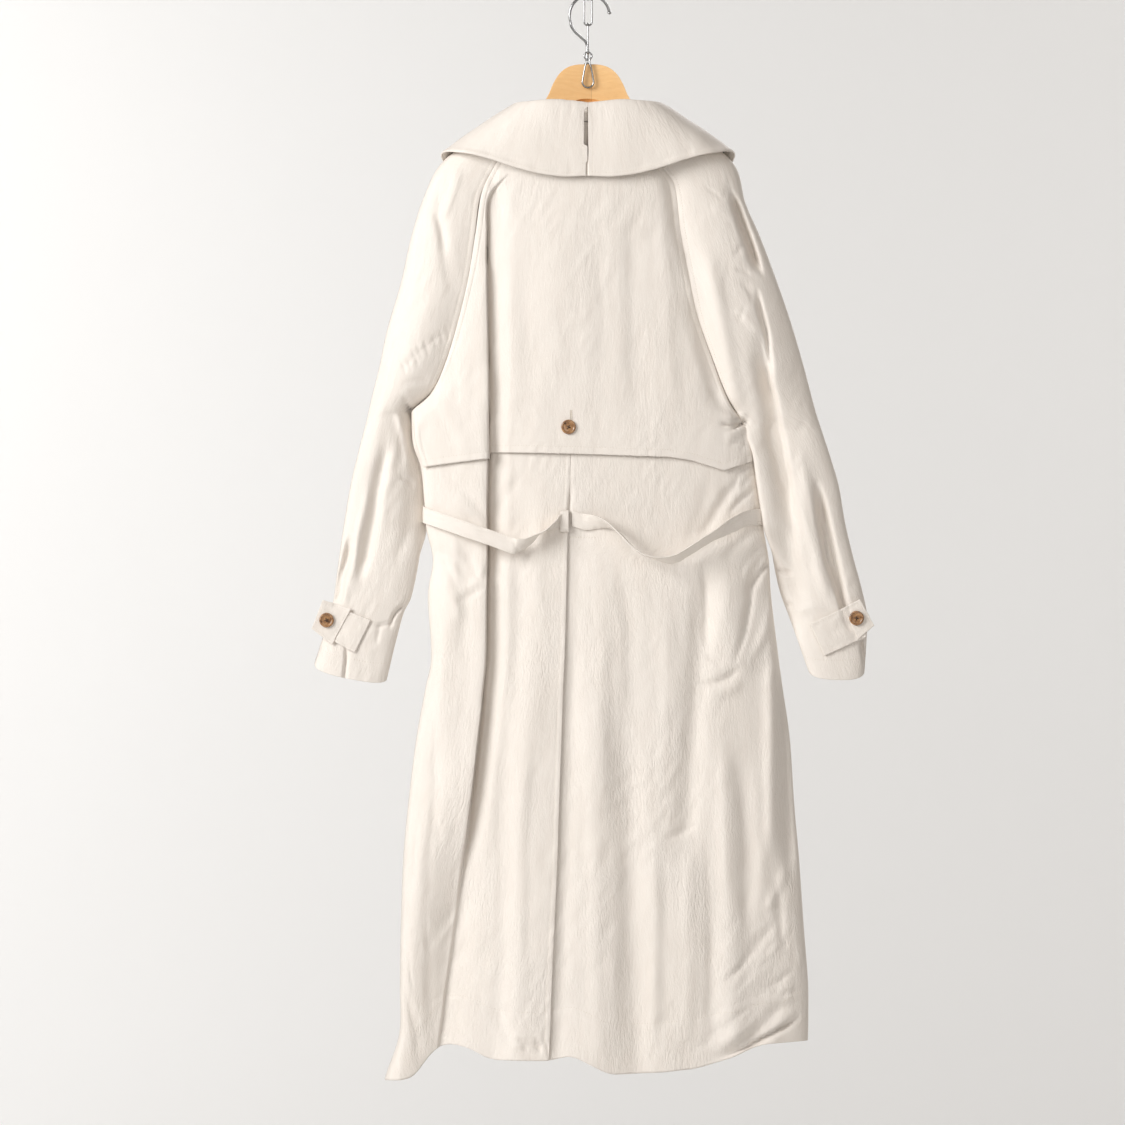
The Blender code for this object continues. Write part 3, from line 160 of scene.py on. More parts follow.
# Main creases, listed one by one: x and drop of both ends, bow to the right of the line, width, rise
# and a skew that makes one flank steeper
BACK_CREASE_ROWS = (
    (144, 742, 150, 880, 0, 6, -3.6, 0.4), (206, 764, 181, 884, 4, 3.4, -5, -0.3),
    (232, 742, 200, 786, -2, 3, -4.6, 0.3), (240, 756, 194, 890, 6, 6, 2.8, 0),
    (145, 868, 170, 877, 1, 3, -2.4, 0.3), (136, 903, 192, 878, -7, 3.4, -3.6, 0.3),
    (142, 914, 196, 892, -7, 7, 2.2, 0), (170, 742, 166, 870, 0, 13, 2.2, 0),
    (-166, 801, -130, 780, -2, 3, -3, 0.2), (-152, 733, -137, 780, 0, 3.5, -2.6, 0),
    (-160, 786, -134, 768, -2, 4, 2, 0), (-134, 776, -125, 750, 0, 3, -2.4, 0),
    (-186, 742, -160, 790, 3, 5, -2.2, 0), (-128, 250, -112, 330, 4, 7, -2.2, 0.2),
    (-186, 262, -168, 420, -6, 8, -2.6, 0.3), (-160, 250, -186, 330, 5, 6, 1.8, -0.2),
    (-196, 300, -178, 372, 3, 5, -2, 0), (-240, 520, -164, 458, 6, 3.5, -0.9, 0.3),
    (-236, 494, -228, 516, 2, 2, -0.9, 0.2), (-229, 490, -220, 512, 1, 2, -0.8, 0.2),
    (-222, 484, -212, 506, 2, 2.2, -1, 0.2), (-214, 476, -206, 498, -1, 2, -0.8, 0.2),
    (-205, 470, -198, 492, -1, 2, -1, 0.2), (-197, 464, -190, 484, 1, 2, -0.7, 0.2),
    (-188, 458, -182, 480, 1, 2, -0.8, 0.2), (-179, 452, -173, 474, 0, 2, -0.7, 0),
    (-236, 532, -190, 524, 5, 4, -1.2, 0), (-233, 538, -214, 650, 4, 3, -14, 0),
    (-246, 548, -228, 646, 4, 4.5, 4, 0), (-240, 642, -220, 656, 2, 2.4, -3, 0),
    (-252, 470, -282, 640, -4, 8, -3.6, 0.2), (-206, 560, -212, 625, -3, 5, 2.2, 0),
    (-190, 540, -150, 640, 8, 9, 1.6, 0.2), (-297, 712, -317, 812, 0, 5.5, -11, 0.3),
    (-224, 800, -249, 832, -4, 2.2, -6, 0), (-268, 829, -240, 827, 0, 2.2, -4, 0),
    (-257, 824, -263, 856, -2, 2.2, -1.4, 0), (-303, 850, -305, 910, 0, 2.2, -5, 0.3),
    (339, 842, 350, 896, 0, 2, -22, 0), (-300, 752, -304, 806, 0, 4, 3, 0),
    (-236, 590, -262, 700, -3, 6, 2, 0), (-270, 640, -305, 770, 2, 5, 1.8, 0),
    (-226, 640, -240, 760, 5, 7, -2, 0), (98, 225, 138, 424, -6, 11, -5, 0.2),
    (144, 281, 168, 297, 1, 2, -1.8, 0.3), (166, 299, 179, 272, -1, 2, -1.8, 0.3),
    (150, 308, 192, 326, 3, 8, 1.2, 0.2), (182, 262, 200, 300, 3, 4, -1.6, 0.3),
    (200, 334, 178, 372, 3, 3, -1.2, 0.4), (182, 385, 203, 393, 2, 2, -2.2, 0.3),
    (186, 398, 206, 430, 4, 4, -1.8, 0.3), (184, 430, 214, 470, 3, 7, 1.8, 0.2),
    (198, 428, 186, 452, 1, 2.4, -1.4, 0), (163, 579, 204, 571, -3, 2.4, -8, 0.3),
    (180, 588, 204, 572, 1, 2.4, -8, 0.3), (176, 566, 198, 568, 1, 2, -3, 0),
    (188, 612, 202, 596, 1, 2, -2.6, 0), (166, 570, 200, 563, -2, 4, 3.6, 0),
    (170, 594, 196, 585, -2, 4, 3, 0), (176, 604, 200, 588, 2, 4, -3, 0),
    (150, 520, 178, 560, 3, 6, 2.2, 0), (176, 278, 218, 396, 0, 3.2, -11, -0.3),
    (208, 404, 231, 524, 3, 3.4, -11, -0.3), (208, 440, 264, 726, 3, 8.5, -17, -0.65),
    (236, 560, 262, 770, 0, 11, -5, -0.3), (238, 694, 264, 812, 3, 12, -7, 0),
    (284, 646, 323, 812, -7, 3.4, -11, 0), (262, 640, 300, 800, -4, 6, 3, 0),
    (234, 759, 257, 762, -1, 2.2, -6, 0.2), (240, 796, 259, 803, -1, 2.2, -6, 0.2),
    (256, 815, 300, 805, 3, 4, 1.6, 0), (180, 666, 208, 616, 4, 3, -2, 0.2),
    (172, 694, 215, 654, 3, 2.6, -3.2, 0.2), (192, 660, 212, 634, 2, 2.2, -2, 0),
    (184, 704, 214, 672, 3, 5, 2, 0), (190, 640, 212, 628, 2, 3, -1.6, 0),
    (168, 752, 224, 700, 5, 6, -3, 0.2), (186, 770, 228, 724, 5, 4, -2.2, 0.2),
    (196, 800, 226, 730, 4, 6, -2.8, 0), (150, 640, 120, 730, 6, 9, -2, 0.2),
    (40, 740, 52, 960, 5, 10, -1.9, 0.2), (20, 760, 26, 1120, -6, 10, 1.8, 0),
    (90, 760, 92, 1060, 6, 12, 1.7, 0.2), (96, 1090, 98, 1360, -5, 9, -2, 0.2),
    (122, 1060, 118, 1380, 5, 10, 2.2, 0.2), (148, 1080, 150, 1380, 5, 9, -2.8, 0.3),
    (38, 1050, 36, 1370, -4, 9, 1.8, 0), (82, 1040, 82, 1370, 4, 8, 1.8, 0),
    (186, 960, 196, 1250, 4, 9, -2.5, 0.2), (206, 980, 214, 1200, 4, 8, 1.8, 0.2),
    (170, 930, 176, 1200, -3, 8, 1.8, 0), (-8, 1010, -4, 1360, 3, 9, -1.7, 0.2),
    (88, 1095, 138, 1072, -5, 3.4, -1.9, 0.3), (238, 1180, 154, 1284, 8, 3.6, -2.2, 0.3),
    (226, 1196, 170, 1300, -6, 3, -1.4, 0), (258, 1200, 176, 1296, 6, 8, 1.6, 0),
    (256, 1208, 208, 1262, 3, 2.8, -2.2, 0.2), (264, 1252, 214, 1284, 2, 2.8, -2.2, 0.2),
    (268, 1276, 236, 1292, 2, 2.6, -1.8, 0.2), (264, 1290, 156, 1352, 4, 8, 3, 0),
    (270, 1309, 164, 1366, 4, 2.8, -8, 0.6), (216, 1290, 128, 1346, 5, 3.6, -1.6, 0),
    (190, 1318, 110, 1366, 4, 2.8, -1.4, 0), (238, 1214, 214, 1242, 2, 2.2, -1.5, 0),
    (250, 1232, 228, 1258, -2, 2.2, -1.4, 0), (204, 1258, 178, 1290, 2, 2.2, -1.4, 0),
    (174, 1292, 152, 1322, 1, 2.2, -1.3, 0), (216, 1298, 196, 1326, -1, 2.2, -1.4, 0),
    (244, 1262, 230, 1292, 1, 2.2, -1.5, 0), (256, 1318, 232, 1334, 1, 2.2, -1.6, 0),
    (162, 1326, 140, 1352, 1, 2.4, -1.3, 0), (132, 1336, 112, 1364, 1, 2.4, -1.3, 0),
    (222, 1226, 196, 1244, 1, 2.2, -1.2, 0), (236, 1132, 250, 1250, -4, 5, -3.4, 0),
    (250, 1120, 218, 1190, 3, 5, 2.6, 0), (252, 1160, 262, 1340, 0, 1.8, -1.6, 0),
    (-172, 646, -124, 704, 4, 6, -2.4, 0.2), (-160, 700, -158, 880, 4, 8, -2.4, 0.2),
    (-176, 800, -186, 1000, -5, 9, 2, 0), (-190, 900, -202, 1180, 4, 6, -1.5, 0.2),
    (-204, 1180, -198, 1350, 4, 5, -1.6, 0), (-232, 1270, -214, 1376, 6, 6, -2.6, 0.2),
    (-222, 930, -212, 1040, 3, 3, -1.2, 0), (-214, 1060, -222, 1170, 3, 3, -1.2, 0),
    (-190, 1060, -186, 1150, 3, 3, -1, 0), (-226, 1200, -216, 1290, -3, 3, -1.2, 0),
    (-20, 648, -24, 716, 0, 1.6, -4, 0), (-60, 640, -58, 860, -4, 12, 1.4, 0),
    (-88, 700, -92, 960, 3, 9, -1.6, 0.2), (-66, 930, -72, 1300, -4, 9, -2, 0.2),
    (-112, 1080, -128, 1350, 3, 9, 1.9, 0), (-104, 1354, -52, 1350, -4, 2.2, -2.6, 0.2),
    (-96, 1344, -50, 1360, 3, 2.2, -2.2, 0), (-86, 1338, -76, 1366, 1, 2, -2, 0),
    (-74, 1334, -80, 1362, 1, 2, -1.6, 0), (-68, 1336, -60, 1366, 2, 2, -2.2, 0),
    (-58, 1332, -64, 1356, 1, 2, 1.6, 0), (-98, 1362, -56, 1364, 2, 2.2, -1.8, 0),
    (-54, 1344, -50, 1368, 1, 2, -1.8, 0), (-118, 1300, -96, 1362, 4, 6, -3.2, 0),
    (-196, 730, -150, 770, 5, 6, -2, 0.2), (-192, 766, -156, 830, 5, 7, 1.8, 0),
    (-80, 640, -120, 700, -4, 8, -1.4, 0), (-40, 300, -44, 560, 4, 14, 1.4, 0),
    (-86, 280, -90, 590, -4, 12, 1.6, 0.2), (10, 290, 16, 600, 4, 14, -1.4, 0),
    (58, 280, 62, 600, -5, 12, -1.8, 0.2), (88, 300, 104, 590, 4, 10, 1.8, 0),
)
FRONT_CREASE_ROWS = (
    (-190, 330, -150, 470, -5, 9, -2.4, 0.2), (-150, 560, -130, 800, 5, 12, -2.6, 0.2),
    (-110, 620, -100, 1000, -5, 12, 2.2, 0), (-186, 800, -196, 1200, 4, 10, 2.4, 0),
    (-60, 900, -70, 1370, 4, 12, -2.4, 0.2), (-160, 980, -176, 1330, -4, 10, -2.4, 0),
    (-240, 610, -280, 760, 4, 7, -3, 0.3), (-222, 470, -180, 500, 4, 4, -2.2, 0.2),
    (180, 340, 150, 480, 5, 9, -2.4, 0.2), (160, 560, 140, 800, -5, 12, -2.4, 0.2),
    (110, 640, 104, 1040, 5, 12, 2.2, 0), (196, 800, 216, 1180, -4, 10, 2.4, 0),
    (70, 900, 78, 1370, 4, 12, -2.4, 0.2), (150, 1000, 170, 1340, -4, 10, -2.4, 0),
    (240, 600, 280, 770, -4, 7, -3, 0.3), (236, 1180, 170, 1290, 6, 8, -3, 0.2),
    (180, 560, 214, 580, -4, 5, -2.8, 0.2),
)

# Crinkle of the cloth, coarse to fine: cell width and length, height and seed
CRINKLE_ROWS = (
    (58, 220, 1.8, 3), (27, 96, 0.85, 11), (12, 44, 0.6, 17), (7, 26, 0.32, 29),
)

# Collar from centre back to centre front: where it stands on the neck, its roll and its free edge
COLLAR = columns_of("neck_x neck_depth neck_drop roll_drop edge_x edge_depth edge_drop", (
    (0.15, 33, 199.8, 176.5, 1, 48, 268.5), (22, 33, 199.8, 174.5, 30, 48, 269.5),
    (44, 33, 199.8, 173, 62, 48, 265.5), (62, 31, 199.8, 173.5, 94, 47.5, 257),
    (77, 25, 199.2, 174.5, 124, 46.5, 247), (85, 13, 195.5, 175.5, 157, 39, 239),
    (86, 0, 192, 176.5, 184, 5, 239), (85, -13, 195.5, 180, 170, -37.5, 266),
    (77, -22, 201.5, 187, 150, -38, 296), (58, -26.5, 219, 199, 122, -40, 320),
    (32, -27.5, 234.5, 213, 84, -41, 334), (5, -27.5, 241.5, 221, 42, -41, 328),
))
COLLAR_ROLL = 5.0
UNDERLAP = ((8.0, 1.0), (5.0, 1.0), (2.2, 0.9), (0.4, 0.4))
COLLAR_BULGE = {"back": 4.0, "front": 3.0}

# The two stretches of the belt, from the keeper at centre back round the side to the front
BELT_COLUMNS = "x drop depth tilt"
LEFT_BELT = columns_of(BELT_COLUMNS, (
    (-26, 697, 34.5, 0), (-37, 700, 36.5, -35), (-46, 705, 41, -62), (-55, 711, 45, -82),
    (-64, 718, 48, -66), (-76, 725.5, 50, -52), (-87, 728.5, 50, -34), (-96, 728, 49, -4),
    (-122, 718.5, 46, 0), (-150, 709, 42, 0), (-185, 697, 30, 0), (-203, 691, 15, 0),
    (-206.8, 689, 0, 0), (-203, 688, -14, 0), (-180, 688, -26, 0), (-130, 690, -31, 0),
    (-70, 692, -34.5, 0), (20, 694, -36.5, 0),
))
RIGHT_BELT = columns_of(BELT_COLUMNS, (
    (-20, 694, 34.5, 0), (-4, 699, 36, -6), (10, 699.5, 40, -36), (24, 703, 45, -64),
    (38, 713, 49, -80), (52, 728, 52, -85), (66, 739, 53, -86), (82, 744.5, 54, -82),
    (98, 747, 55, -66), (112, 744, 55, -56), (132, 732, 53, -52), (157, 716, 49, -44),
    (178, 704, 41, -12), (197, 695, 29, 0), (218, 692, 13, 0), (221.8, 691, 0, 0), (218, 691, -12, 0),
    (190, 691, -26, 0), (130, 692, -33, 0), (60, 693, -39.5, 0), (-30, 694, -41, 0),
))
KEEPER_X = -29.5
KEEPER_HALF_WIDTH = 5.2
KEEPER_ROW = 12.6
KEEPER = columns_of("drop lift", (
    (684, 0.5), (686, 4.6), (690, 5.6), (706, 5.6), (710, 4.4), (712, 0.5),
))

# Corners of the cuff straps and of the buttoned tabs that end them, x and drop: outer top, outer low,
# inner low and inner top
STRAP_ROWS = {
    "left": ((-328, 799), (-342, 834), (-291, 862), (-271, 821)),
    "right": ((337, 797), (347, 842), (295, 866), (277, 826)),
}
TAB_ROWS = {
    "left": ((-331, 796), (-345, 832), (-319, 852), (-295, 807)),
    "right": ((339, 795), (357, 828), (337, 845), (318, 806)),
}
STRAP_BUTTONS = {"left": (-325, 820.5), "right": (336, 819)}
FLAP_BUTTON = (-23.5, 581.5)
BUTTONHOLE_DROPS = (560.0, 573.5)
BUTTONHOLE_SIDES = ((-22.9, -21.5), (-21.1, -19.7))
STRAP_LIFT = CLOTH + 0.9
TAB_LIFT = 1.3

# Distances of the grid lines from an edge, the pleat, the vent and the lower end of a piece
NEAR_EDGE = np.array((0, 0.7, 1.8, 3.6, 5.4, 6.3, 7.2, 8.6, 11.0))
NEAR_PLEAT = np.array((0, 1.4, 2.8, 4.4, 6.2, 8.4, 11, 14, 18, 23, 29.0))
NEAR_VENT = np.array((0, 1.5, 4.0, 7.0, 10.0))
NEAR_END = (0, 1.2, 3.0, 6.0)
FRONT_NEAR_END = (0, 1.5, 4.0)

# How far the topstitching lies inside an edge or above a hem
STITCH_IN = 6.3
HEM_STITCH_UP = 62.0
FLAP_STITCH_UP = 9.0
CUFF_STITCH_UP = 25.0
COLLAR_STITCH_IN = 5.0
COLLAR_SLIT_STITCH_IN = 4.6
STRAP_STITCH_IN = 3.2
BELT_STITCH_IN = 1.9

# Cells of the seeded noise before it repeats, and height of the slanted crumple
LATTICE = 128
CRUMPLE = 1.1

# Below the armhole the left sleeve's inner edge is tucked behind the body and the right one's before
# it; further down the right one sinks behind the body too
TUCK_DROPS = {"left": (520, 564, 700, 744), "right": (556, 600, 700, 744)}
TUCK_IN = {"left": 8.0, "right": -8.0}
TUCK_BACK = {"left": 20.0, "right": -14.0}
SINK_DROPS = (728, 764, 812, 850)
SINK_BACK = {"left": 0.0, "right": 14.0}

# Grid places that are seen from the room, where a piece that wraps round the body is told inside from out
COLLAR_SHOWN = (2, -2)
BELT_SHOWN = (0, 7)

SLEEVES = {"left": LEFT_SLEEVE, "right": RIGHT_SLEEVE}
BELT = {"left": LEFT_BELT, "right": RIGHT_BELT}
FOLDS = {-1: BACK_FOLDS, 1: FRONT_FOLDS}
CREASES = {-1: BACK_CREASE_ROWS, 1: FRONT_CREASE_ROWS}


def whole_side(seam, body):
    """One side line of the body: the raglan seam above, the side edge below."""
    return np.concatenate([seam[:UNDERARM + 1], body])


SIDES = {name: np.concatenate([YOKE[name], BODY[name]]) for name in ("swell", "pleat_x", "centre_x")}
for side, sleeve in SLEEVES.items():
    SIDES[side + "_x"] = whole_side(sleeve["in_x"], BODY[side])
    SIDES[side + "_drop"] = whole_side(sleeve["in_drop"], BODY["drop"])
    SIDES[side + "_depth"] = whole_side(sleeve["seam_depth"], 0 * BODY["drop"])


def smooth(values, places):
    """A smooth line through values at whole places, read at any places between them."""
    last = len(values) - 1
    i = np.clip(np.floor(places).astype(int), 0, last - 1)
    share = places - i
    before, start, end, after = (values[np.clip(i + k, 0, last)] for k in (-1, 0, 1, 2))
    square, cube = share * share, share ** 3
    return ((2 * cube - 3 * square + 1) * start + (cube - 2 * square + share) * (end - before) / 2
            + (3 * square - 2 * cube) * end + (cube - square) * (after - start) / 2)


def through(values, rows):
    """A smooth line down a side, broken at the underarm as in the solids."""
    rows = np.asarray(rows, float)
    above = smooth(values[:UNDERARM + 1], np.minimum(rows, UNDERARM))
    below = smooth(values[UNDERARM:], np.maximum(rows, UNDERARM) - UNDERARM)
    return np.where(rows <= UNDERARM, above, below)


def line_at(name, rows):
    """One of the body's lines, read at any rows."""
    return through(SIDES[name], rows)


def level_of(rows, x):
    """Drop of each row's left end, for a whole grid."""
    return line_at("left_drop", rows)[:, None] + 0 * x


def ease(value, low, high):
    """Smooth step from 0 at low to 1 at high."""
    share = np.clip((value - low) / (high - low), 0, 1)
    return share * share * (3 - 2 * share)


def plateau(value, rise_from, rise_to, fall_from, fall_to):
    """1 between two smooth steps, 0 outside them."""
    return ease(value, rise_from, rise_to) * (1 - ease(value, fall_from, fall_to))


def bump_at(value, place, width):
    """A soft bump of height 1 at a place."""
    return np.exp(-((value - place) / width) ** 2)


def softened(value, places, heights, reach):
    """Straight lines through heights at places, their corners softened over a reach."""
    near = [np.interp(value + share * reach, places, heights) for share in (-1, -0.5, 0, 0.5, 1)]
    return sum(near) / len(near)


def soft_steps(value, places, heights):
    """Heights at places, joined by smooth steps."""
    total = np.full_like(value, heights[0])
    for i in range(len(places) - 1):
        total += (heights[i + 1] - heights[i]) * ease(value, places[i], places[i + 1])
    return total


def arch(share):
    """Height of a flattened tube across its width, 0 at both edges."""
    return np.maximum(0, 1 - np.abs(2 * share - 1) ** ROUNDNESS) ** (1 / ROUNDNESS)


def quarter(share):
    """Height of half a flattened tube, 1 at the seam and 0 at the outer edge."""
    return np.maximum(0, 1 - share ** ROUNDNESS) ** (1 / ROUNDNESS)


def ripple(across, along, seed):
    """Seeded smooth noise between -1 and 1 with one cell to each unit."""
    lattice = np.random.default_rng(seed).uniform(-1, 1, (LATTICE, LATTICE))
    i, j = np.floor(across).astype(int), np.floor(along).astype(int)
    u, v = across - i, along - j
    u, v = u * u * (3 - 2 * u), v * v * (3 - 2 * v)
    near, far = i % LATTICE, (i + 1) % LATTICE
    upper, lower = j % LATTICE, (j + 1) % LATTICE
    top = lattice[near, upper] * (1 - u) + lattice[far, upper] * u
    low = lattice[near, lower] * (1 - u) + lattice[far, lower] * u
    return top * (1 - v) + low * v


def crinkle(x, drop):
    """The crumpled nylon's own relief: crests that run down the cloth and fork, patchy in height."""
    total = np.zeros_like(x)
    for width, length, height, seed in CRINKLE_ROWS:
        bent = 0.9 * ripple(x / (2.3 * width), drop / (0.9 * length), seed + 1)
        across = (x + 0.05 * drop) / width + bent
        along = drop / length + 0.5 * ripple(x / width, drop / (2 * length), seed + 2)
        patch = 0.6 + 0.4 * ripple(x / 70, drop / 120, seed + 3)
        total += height * patch * (0.5 - np.sqrt(ripple(across, along, seed) ** 2 + 0.03))
    knotted = ease(ripple(x / 85, drop / 110, 41), 0.0, 0.55)
    slanted = ripple((x + 0.6 * drop) / 15, (drop - 0.4 * x) / 34, 43)
    gain = 0.8 + 0.55 * ease(drop, 650, 1250)
    return gain * (total + CRUMPLE * knotted * (0.45 - np.abs(slanted)))


def folds_at(folds, x, drop):
    """Rise of all the large folds, which are those of the solids."""
    rise = np.zeros_like(x)
    for i in range(len(folds["rise"])):
        share = (drop - folds["top_drop"][i]) / (folds["low_drop"][i] - folds["top_drop"][i])
        line_x = folds["top_x"][i] + share * (folds["low_x"][i] - folds["top_x"][i])
        fade = ease(share, 0, 0.25) * ease(1 - share, 0, 0.2)
        rise += folds["rise"][i] * fade * bump_at(x, line_x, folds["width"][i])
    return rise


def creases_at(rows, x, drop):
    """Rise of the listed creases; each wanders a little and dies away at both ends."""
    rise = np.zeros_like(x)
    wander = 1.8 * ripple(x / 23, drop / 31, 5)
    swing = 1 + 0.3 * ripple(x / 31, drop / 37, 7)
    for top_x, top_drop, low_x, low_drop, bow, width, height, skew in rows:
        run_x, run_drop = low_x - top_x, low_drop - top_drop
        length = math.hypot(run_x, run_drop)
        along = ((x - top_x) * run_x + (drop - top_drop) * run_drop) / length ** 2
        aside = ((x - top_x) * run_drop - (drop - top_drop) * run_x) / length + wander
        aside -= bow * 4 * along * (1 - along)
        fade = ease(along, 0, 0.3) * ease(1 - along, 0, 0.3)
        flank = width * np.where(aside > 0, 1 + skew, 1 - skew)
        rise += height * swing * fade * bump_at(aside, 0, flank)
    return rise


def seam_form(distance, along):
    """Relief beside a seam: a furrow, the doubled allowance, the topstitching and its puckers."""
    furrow = -0.35 * bump_at(distance, 0, 1.4)
    doubled = 0.25 * ease(distance, 0.5, 2.0) * ease(STITCH_IN + 1 - distance, 0, 1.5)
    stitched = -0.4 * bump_at(distance, STITCH_IN, 0.9)
    puckers = 0.35 * ripple(along / 7.5, 0 * along + 0.5, 23) * bump_at(distance, STITCH_IN, 5)
    return furrow + doubled + stitched + puckers


def layered(depth, rise):
    """Half depth with its relief, which fades at the edges and leaves room for the wall."""
    full = depth + rise * np.minimum(1, depth / 12)
    return np.maximum(full, np.minimum(depth, CLOTH + 1.5))


def relief(facing, x, drop):
    """Folds, creases and crinkle of the back (-1) or the front (1)."""
    return folds_at(FOLDS[facing], x, drop) + creases_at(CREASES[facing], x, drop) + crinkle(x, drop)


def body_place(row, x):
    """Drop and plain half depth of the body at x."""
    left, right = line_at("left_x", row), line_at("right_x", row)
    share = np.clip((x - left) / (right - left), 0, 1)
    sewn = 1 - ease(row, 5, 9)
    dome = sewn * np.sin(math.pi * share) + (1 - sewn) * arch(share)
    drop = (1 - share) * line_at("left_drop", row) + share * line_at("right_drop", row)
    seam = (1 - share) * line_at("left_depth", row) + share * line_at("right_depth", row)
    return drop, EDGE_DEPTH + np.maximum(0, seam) + line_at("swell", row) * dome


def hem_level(x):
    """Drop of the hem at x, its corners softened."""
    return softened(x, HEM["x"], HEM["drop"], 9)


def hem_drop(row, drop, x):
    """Lowers the last rows onto the uneven hem."""
    share = np.clip((row - HEM_START_ROW) / (HEM_ROW - HEM_START_ROW), 0, 1) ** 2
    return drop + share * (hem_level(x) - BODY["drop"][-1])


def hem_form(drop, x):
    """The turned hem: a faint step and its line of stitching, well above the edge."""
    up = hem_level(x) - drop
    stitched = -0.6 * bump_at(up, HEM_STITCH_UP, 1.6)
    puckers = 0.7 * ripple(x / 9, 0 * x + 0.5, 61) * bump_at(up, HEM_STITCH_UP, 9)
    return stitched + puckers + 0.5 * ease(HEM_STITCH_UP - up, 0, 3)


def back_surface(rows, x, dip=0.0, seam=0.0):
    """Outer face of the back: drop, depth and relief at x on each row."""
    row = rows[:, None] + 0 * x
    drop, depth = body_place(row, x)
    drop = hem_drop(row, drop, x)
    offset = x - line_at("pleat_x", row)
    wander = offset + 1.2 * ripple(drop / 45, 0 * x, 71)
    spread = ease(drop, *PLEAT_SPREAD_DROPS)
    pleat = (1 - spread) * soft_steps(wander, PLEAT_ACROSS["offset"], PLEAT_ACROSS["share"])
    low = softened(wander, PLEAT_LOW["offset"], PLEAT_LOW["share"], 8)
    pleat += spread * (low - 0.22 * plateau(wander, -0.5, 3, 4, 40))
    pleat_depth = np.interp(row, PLEAT_DEPTH["row"], PLEAT_DEPTH["depth"])
    pleat *= pleat_depth
    depth = layered(depth, relief(-1, x, drop) + pleat + seam + hem_form(drop, x) - dip)
    lip = PLEAT_LIP * pleat_depth / 12 * plateau(offset, -16, 0, 0.6, 4.0) * (1 - 0.85 * spread)
    return np.stack([x + lip, HANGER_PLANE - depth, -drop], axis=2)


def front_surface(rows, x, dip=0.0, seam=0.0):
    """Outer face of the fronts, which is towards the wall."""
    row = rows[:, None] + 0 * x
    drop, depth = body_place(row, x)
    drop = hem_drop(row, drop, x)
    across = np.minimum(1, (x / LEFT_SLEEVE["in_x"][0]) ** 2)
    drop = drop + FRONT_NECK_DIP * (1 - across) * (1 - ease(row, 0, 5))
    depth = layered(depth, relief(1, x, drop) + seam + hem_form(drop, x) - dip)
    return np.stack([x, HANGER_PLANE + FRONT_SHARE * depth, -drop], axis=2)


def sleeve_surface(side, rows, distance, facing):
    """Outer face of half a sleeve; distance runs from the seam to the outer edge."""
    sleeve = SLEEVES[side]
    row = rows[:, None] + 0 * distance
    in_x, in_drop = through(sleeve["in_x"], row), through(sleeve["in_drop"], row)
    out_x, out_drop = through(sleeve["out_x"], row), through(sleeve["out_drop"], row)
    width = np.hypot(out_x - in_x, out_drop - in_drop)
    share = np.clip(distance / width, 0, 1)
    x = in_x + share * (out_x - in_x)
    drop = in_drop + share * (out_drop - in_drop)
    tuck = plateau(drop, *TUCK_DROPS[side]) * np.exp(-distance / 18)
    sink = SINK_BACK[side] * plateau(drop, *SINK_DROPS) * np.exp(-distance / 24)
    last = len(sleeve["in_x"]) - 1
    drop = drop + CUFF_DIP[side] * arch(share) * ease(row, last - 1.5, last)
    depth = EDGE_DEPTH + np.maximum(0, through(sleeve["seam_depth"], row)) * quarter(share)
    sewn = 1 - ease(row, 6, 9.5)
    dome = sewn * np.sin(math.pi * share) ** 1.3 + (1 - sewn) * arch(share)
    depth += through(sleeve["swell"], row) * dome
    seam = (0.9 if side == "left" else 0.4) * seam_form(distance, drop)
    depth = layered(depth, relief(facing, x, drop) + seam)
    depth *= facing * (FRONT_SHARE if facing > 0 else 1)
    x = x + TUCK_IN[side] * tuck
    return np.stack([x, HANGER_PLANE + depth + TUCK_BACK[side] * tuck + sink, -drop], axis=2)


def rows_every(step, drops, last_row, near_end=(0,)):
    """Rows evenly spaced down the cloth, and at the given distances before its end."""
    fine = np.linspace(0, last_row, 4000)
    level = through(drops, fine)
    stop = level[-1] - near_end[-1]
    count = int((stop - level[0]) / step) + 1
    wanted = np.concatenate([np.linspace(level[0], stop, count)[:-1], level[-1] - np.array(near_end[::-1])])
    return np.interp(wanted, level, fine)


def columns_between(start, end, first, last, count):
    """Columns from start to end: at the first and last distances from the ends, even between."""
    squeeze = np.clip(np.abs(end - start) / (1.6 * (first[-1] + last[-1])), 0, 1)[:, None]
    way = np.sign(end - start)[:, None]
    head = start[:, None] + way * squeeze * first
    tail = end[:, None] - way * squeeze * last[::-1]
    middle = np.linspace(0, 1, count + 2)[1:-1]
    return np.concatenate([head, head[:, -1:] + middle * (tail[:, :1] - head[:, -1:]), tail], axis=1)


def reach_along(points, axis=0):
    """Distance travelled from the start along one axis of a line or grid."""
    steps = np.diff(points, axis=axis, prepend=np.take(points, [0], axis=axis))
    return np.cumsum(np.linalg.norm(steps, axis=-1), axis=axis)


def quad_normals(grid):
    """Normal of each quad of a grid, as long as twice the quad's area."""
    return np.cross(grid[1:, 1:] - grid[:-1, :-1], grid[1:, :-1] - grid[:-1, 1:])


def unit(vectors):
    """Vectors made one long."""
    return vectors / np.maximum(np.linalg.norm(vectors, axis=-1, keepdims=True), 1e-9)


def grid_normals(grid):
    """Mean normal at each point of a grid, from the quads around it."""
    rows, cols = grid.shape[:2]
    normals = np.zeros_like(grid)
    quads = quad_normals(grid)
    for down in (0, 1):
        for over in (0, 1):
            normals[down:rows - 1 + down, over:cols - 1 + over] += quads
    return unit(normals)


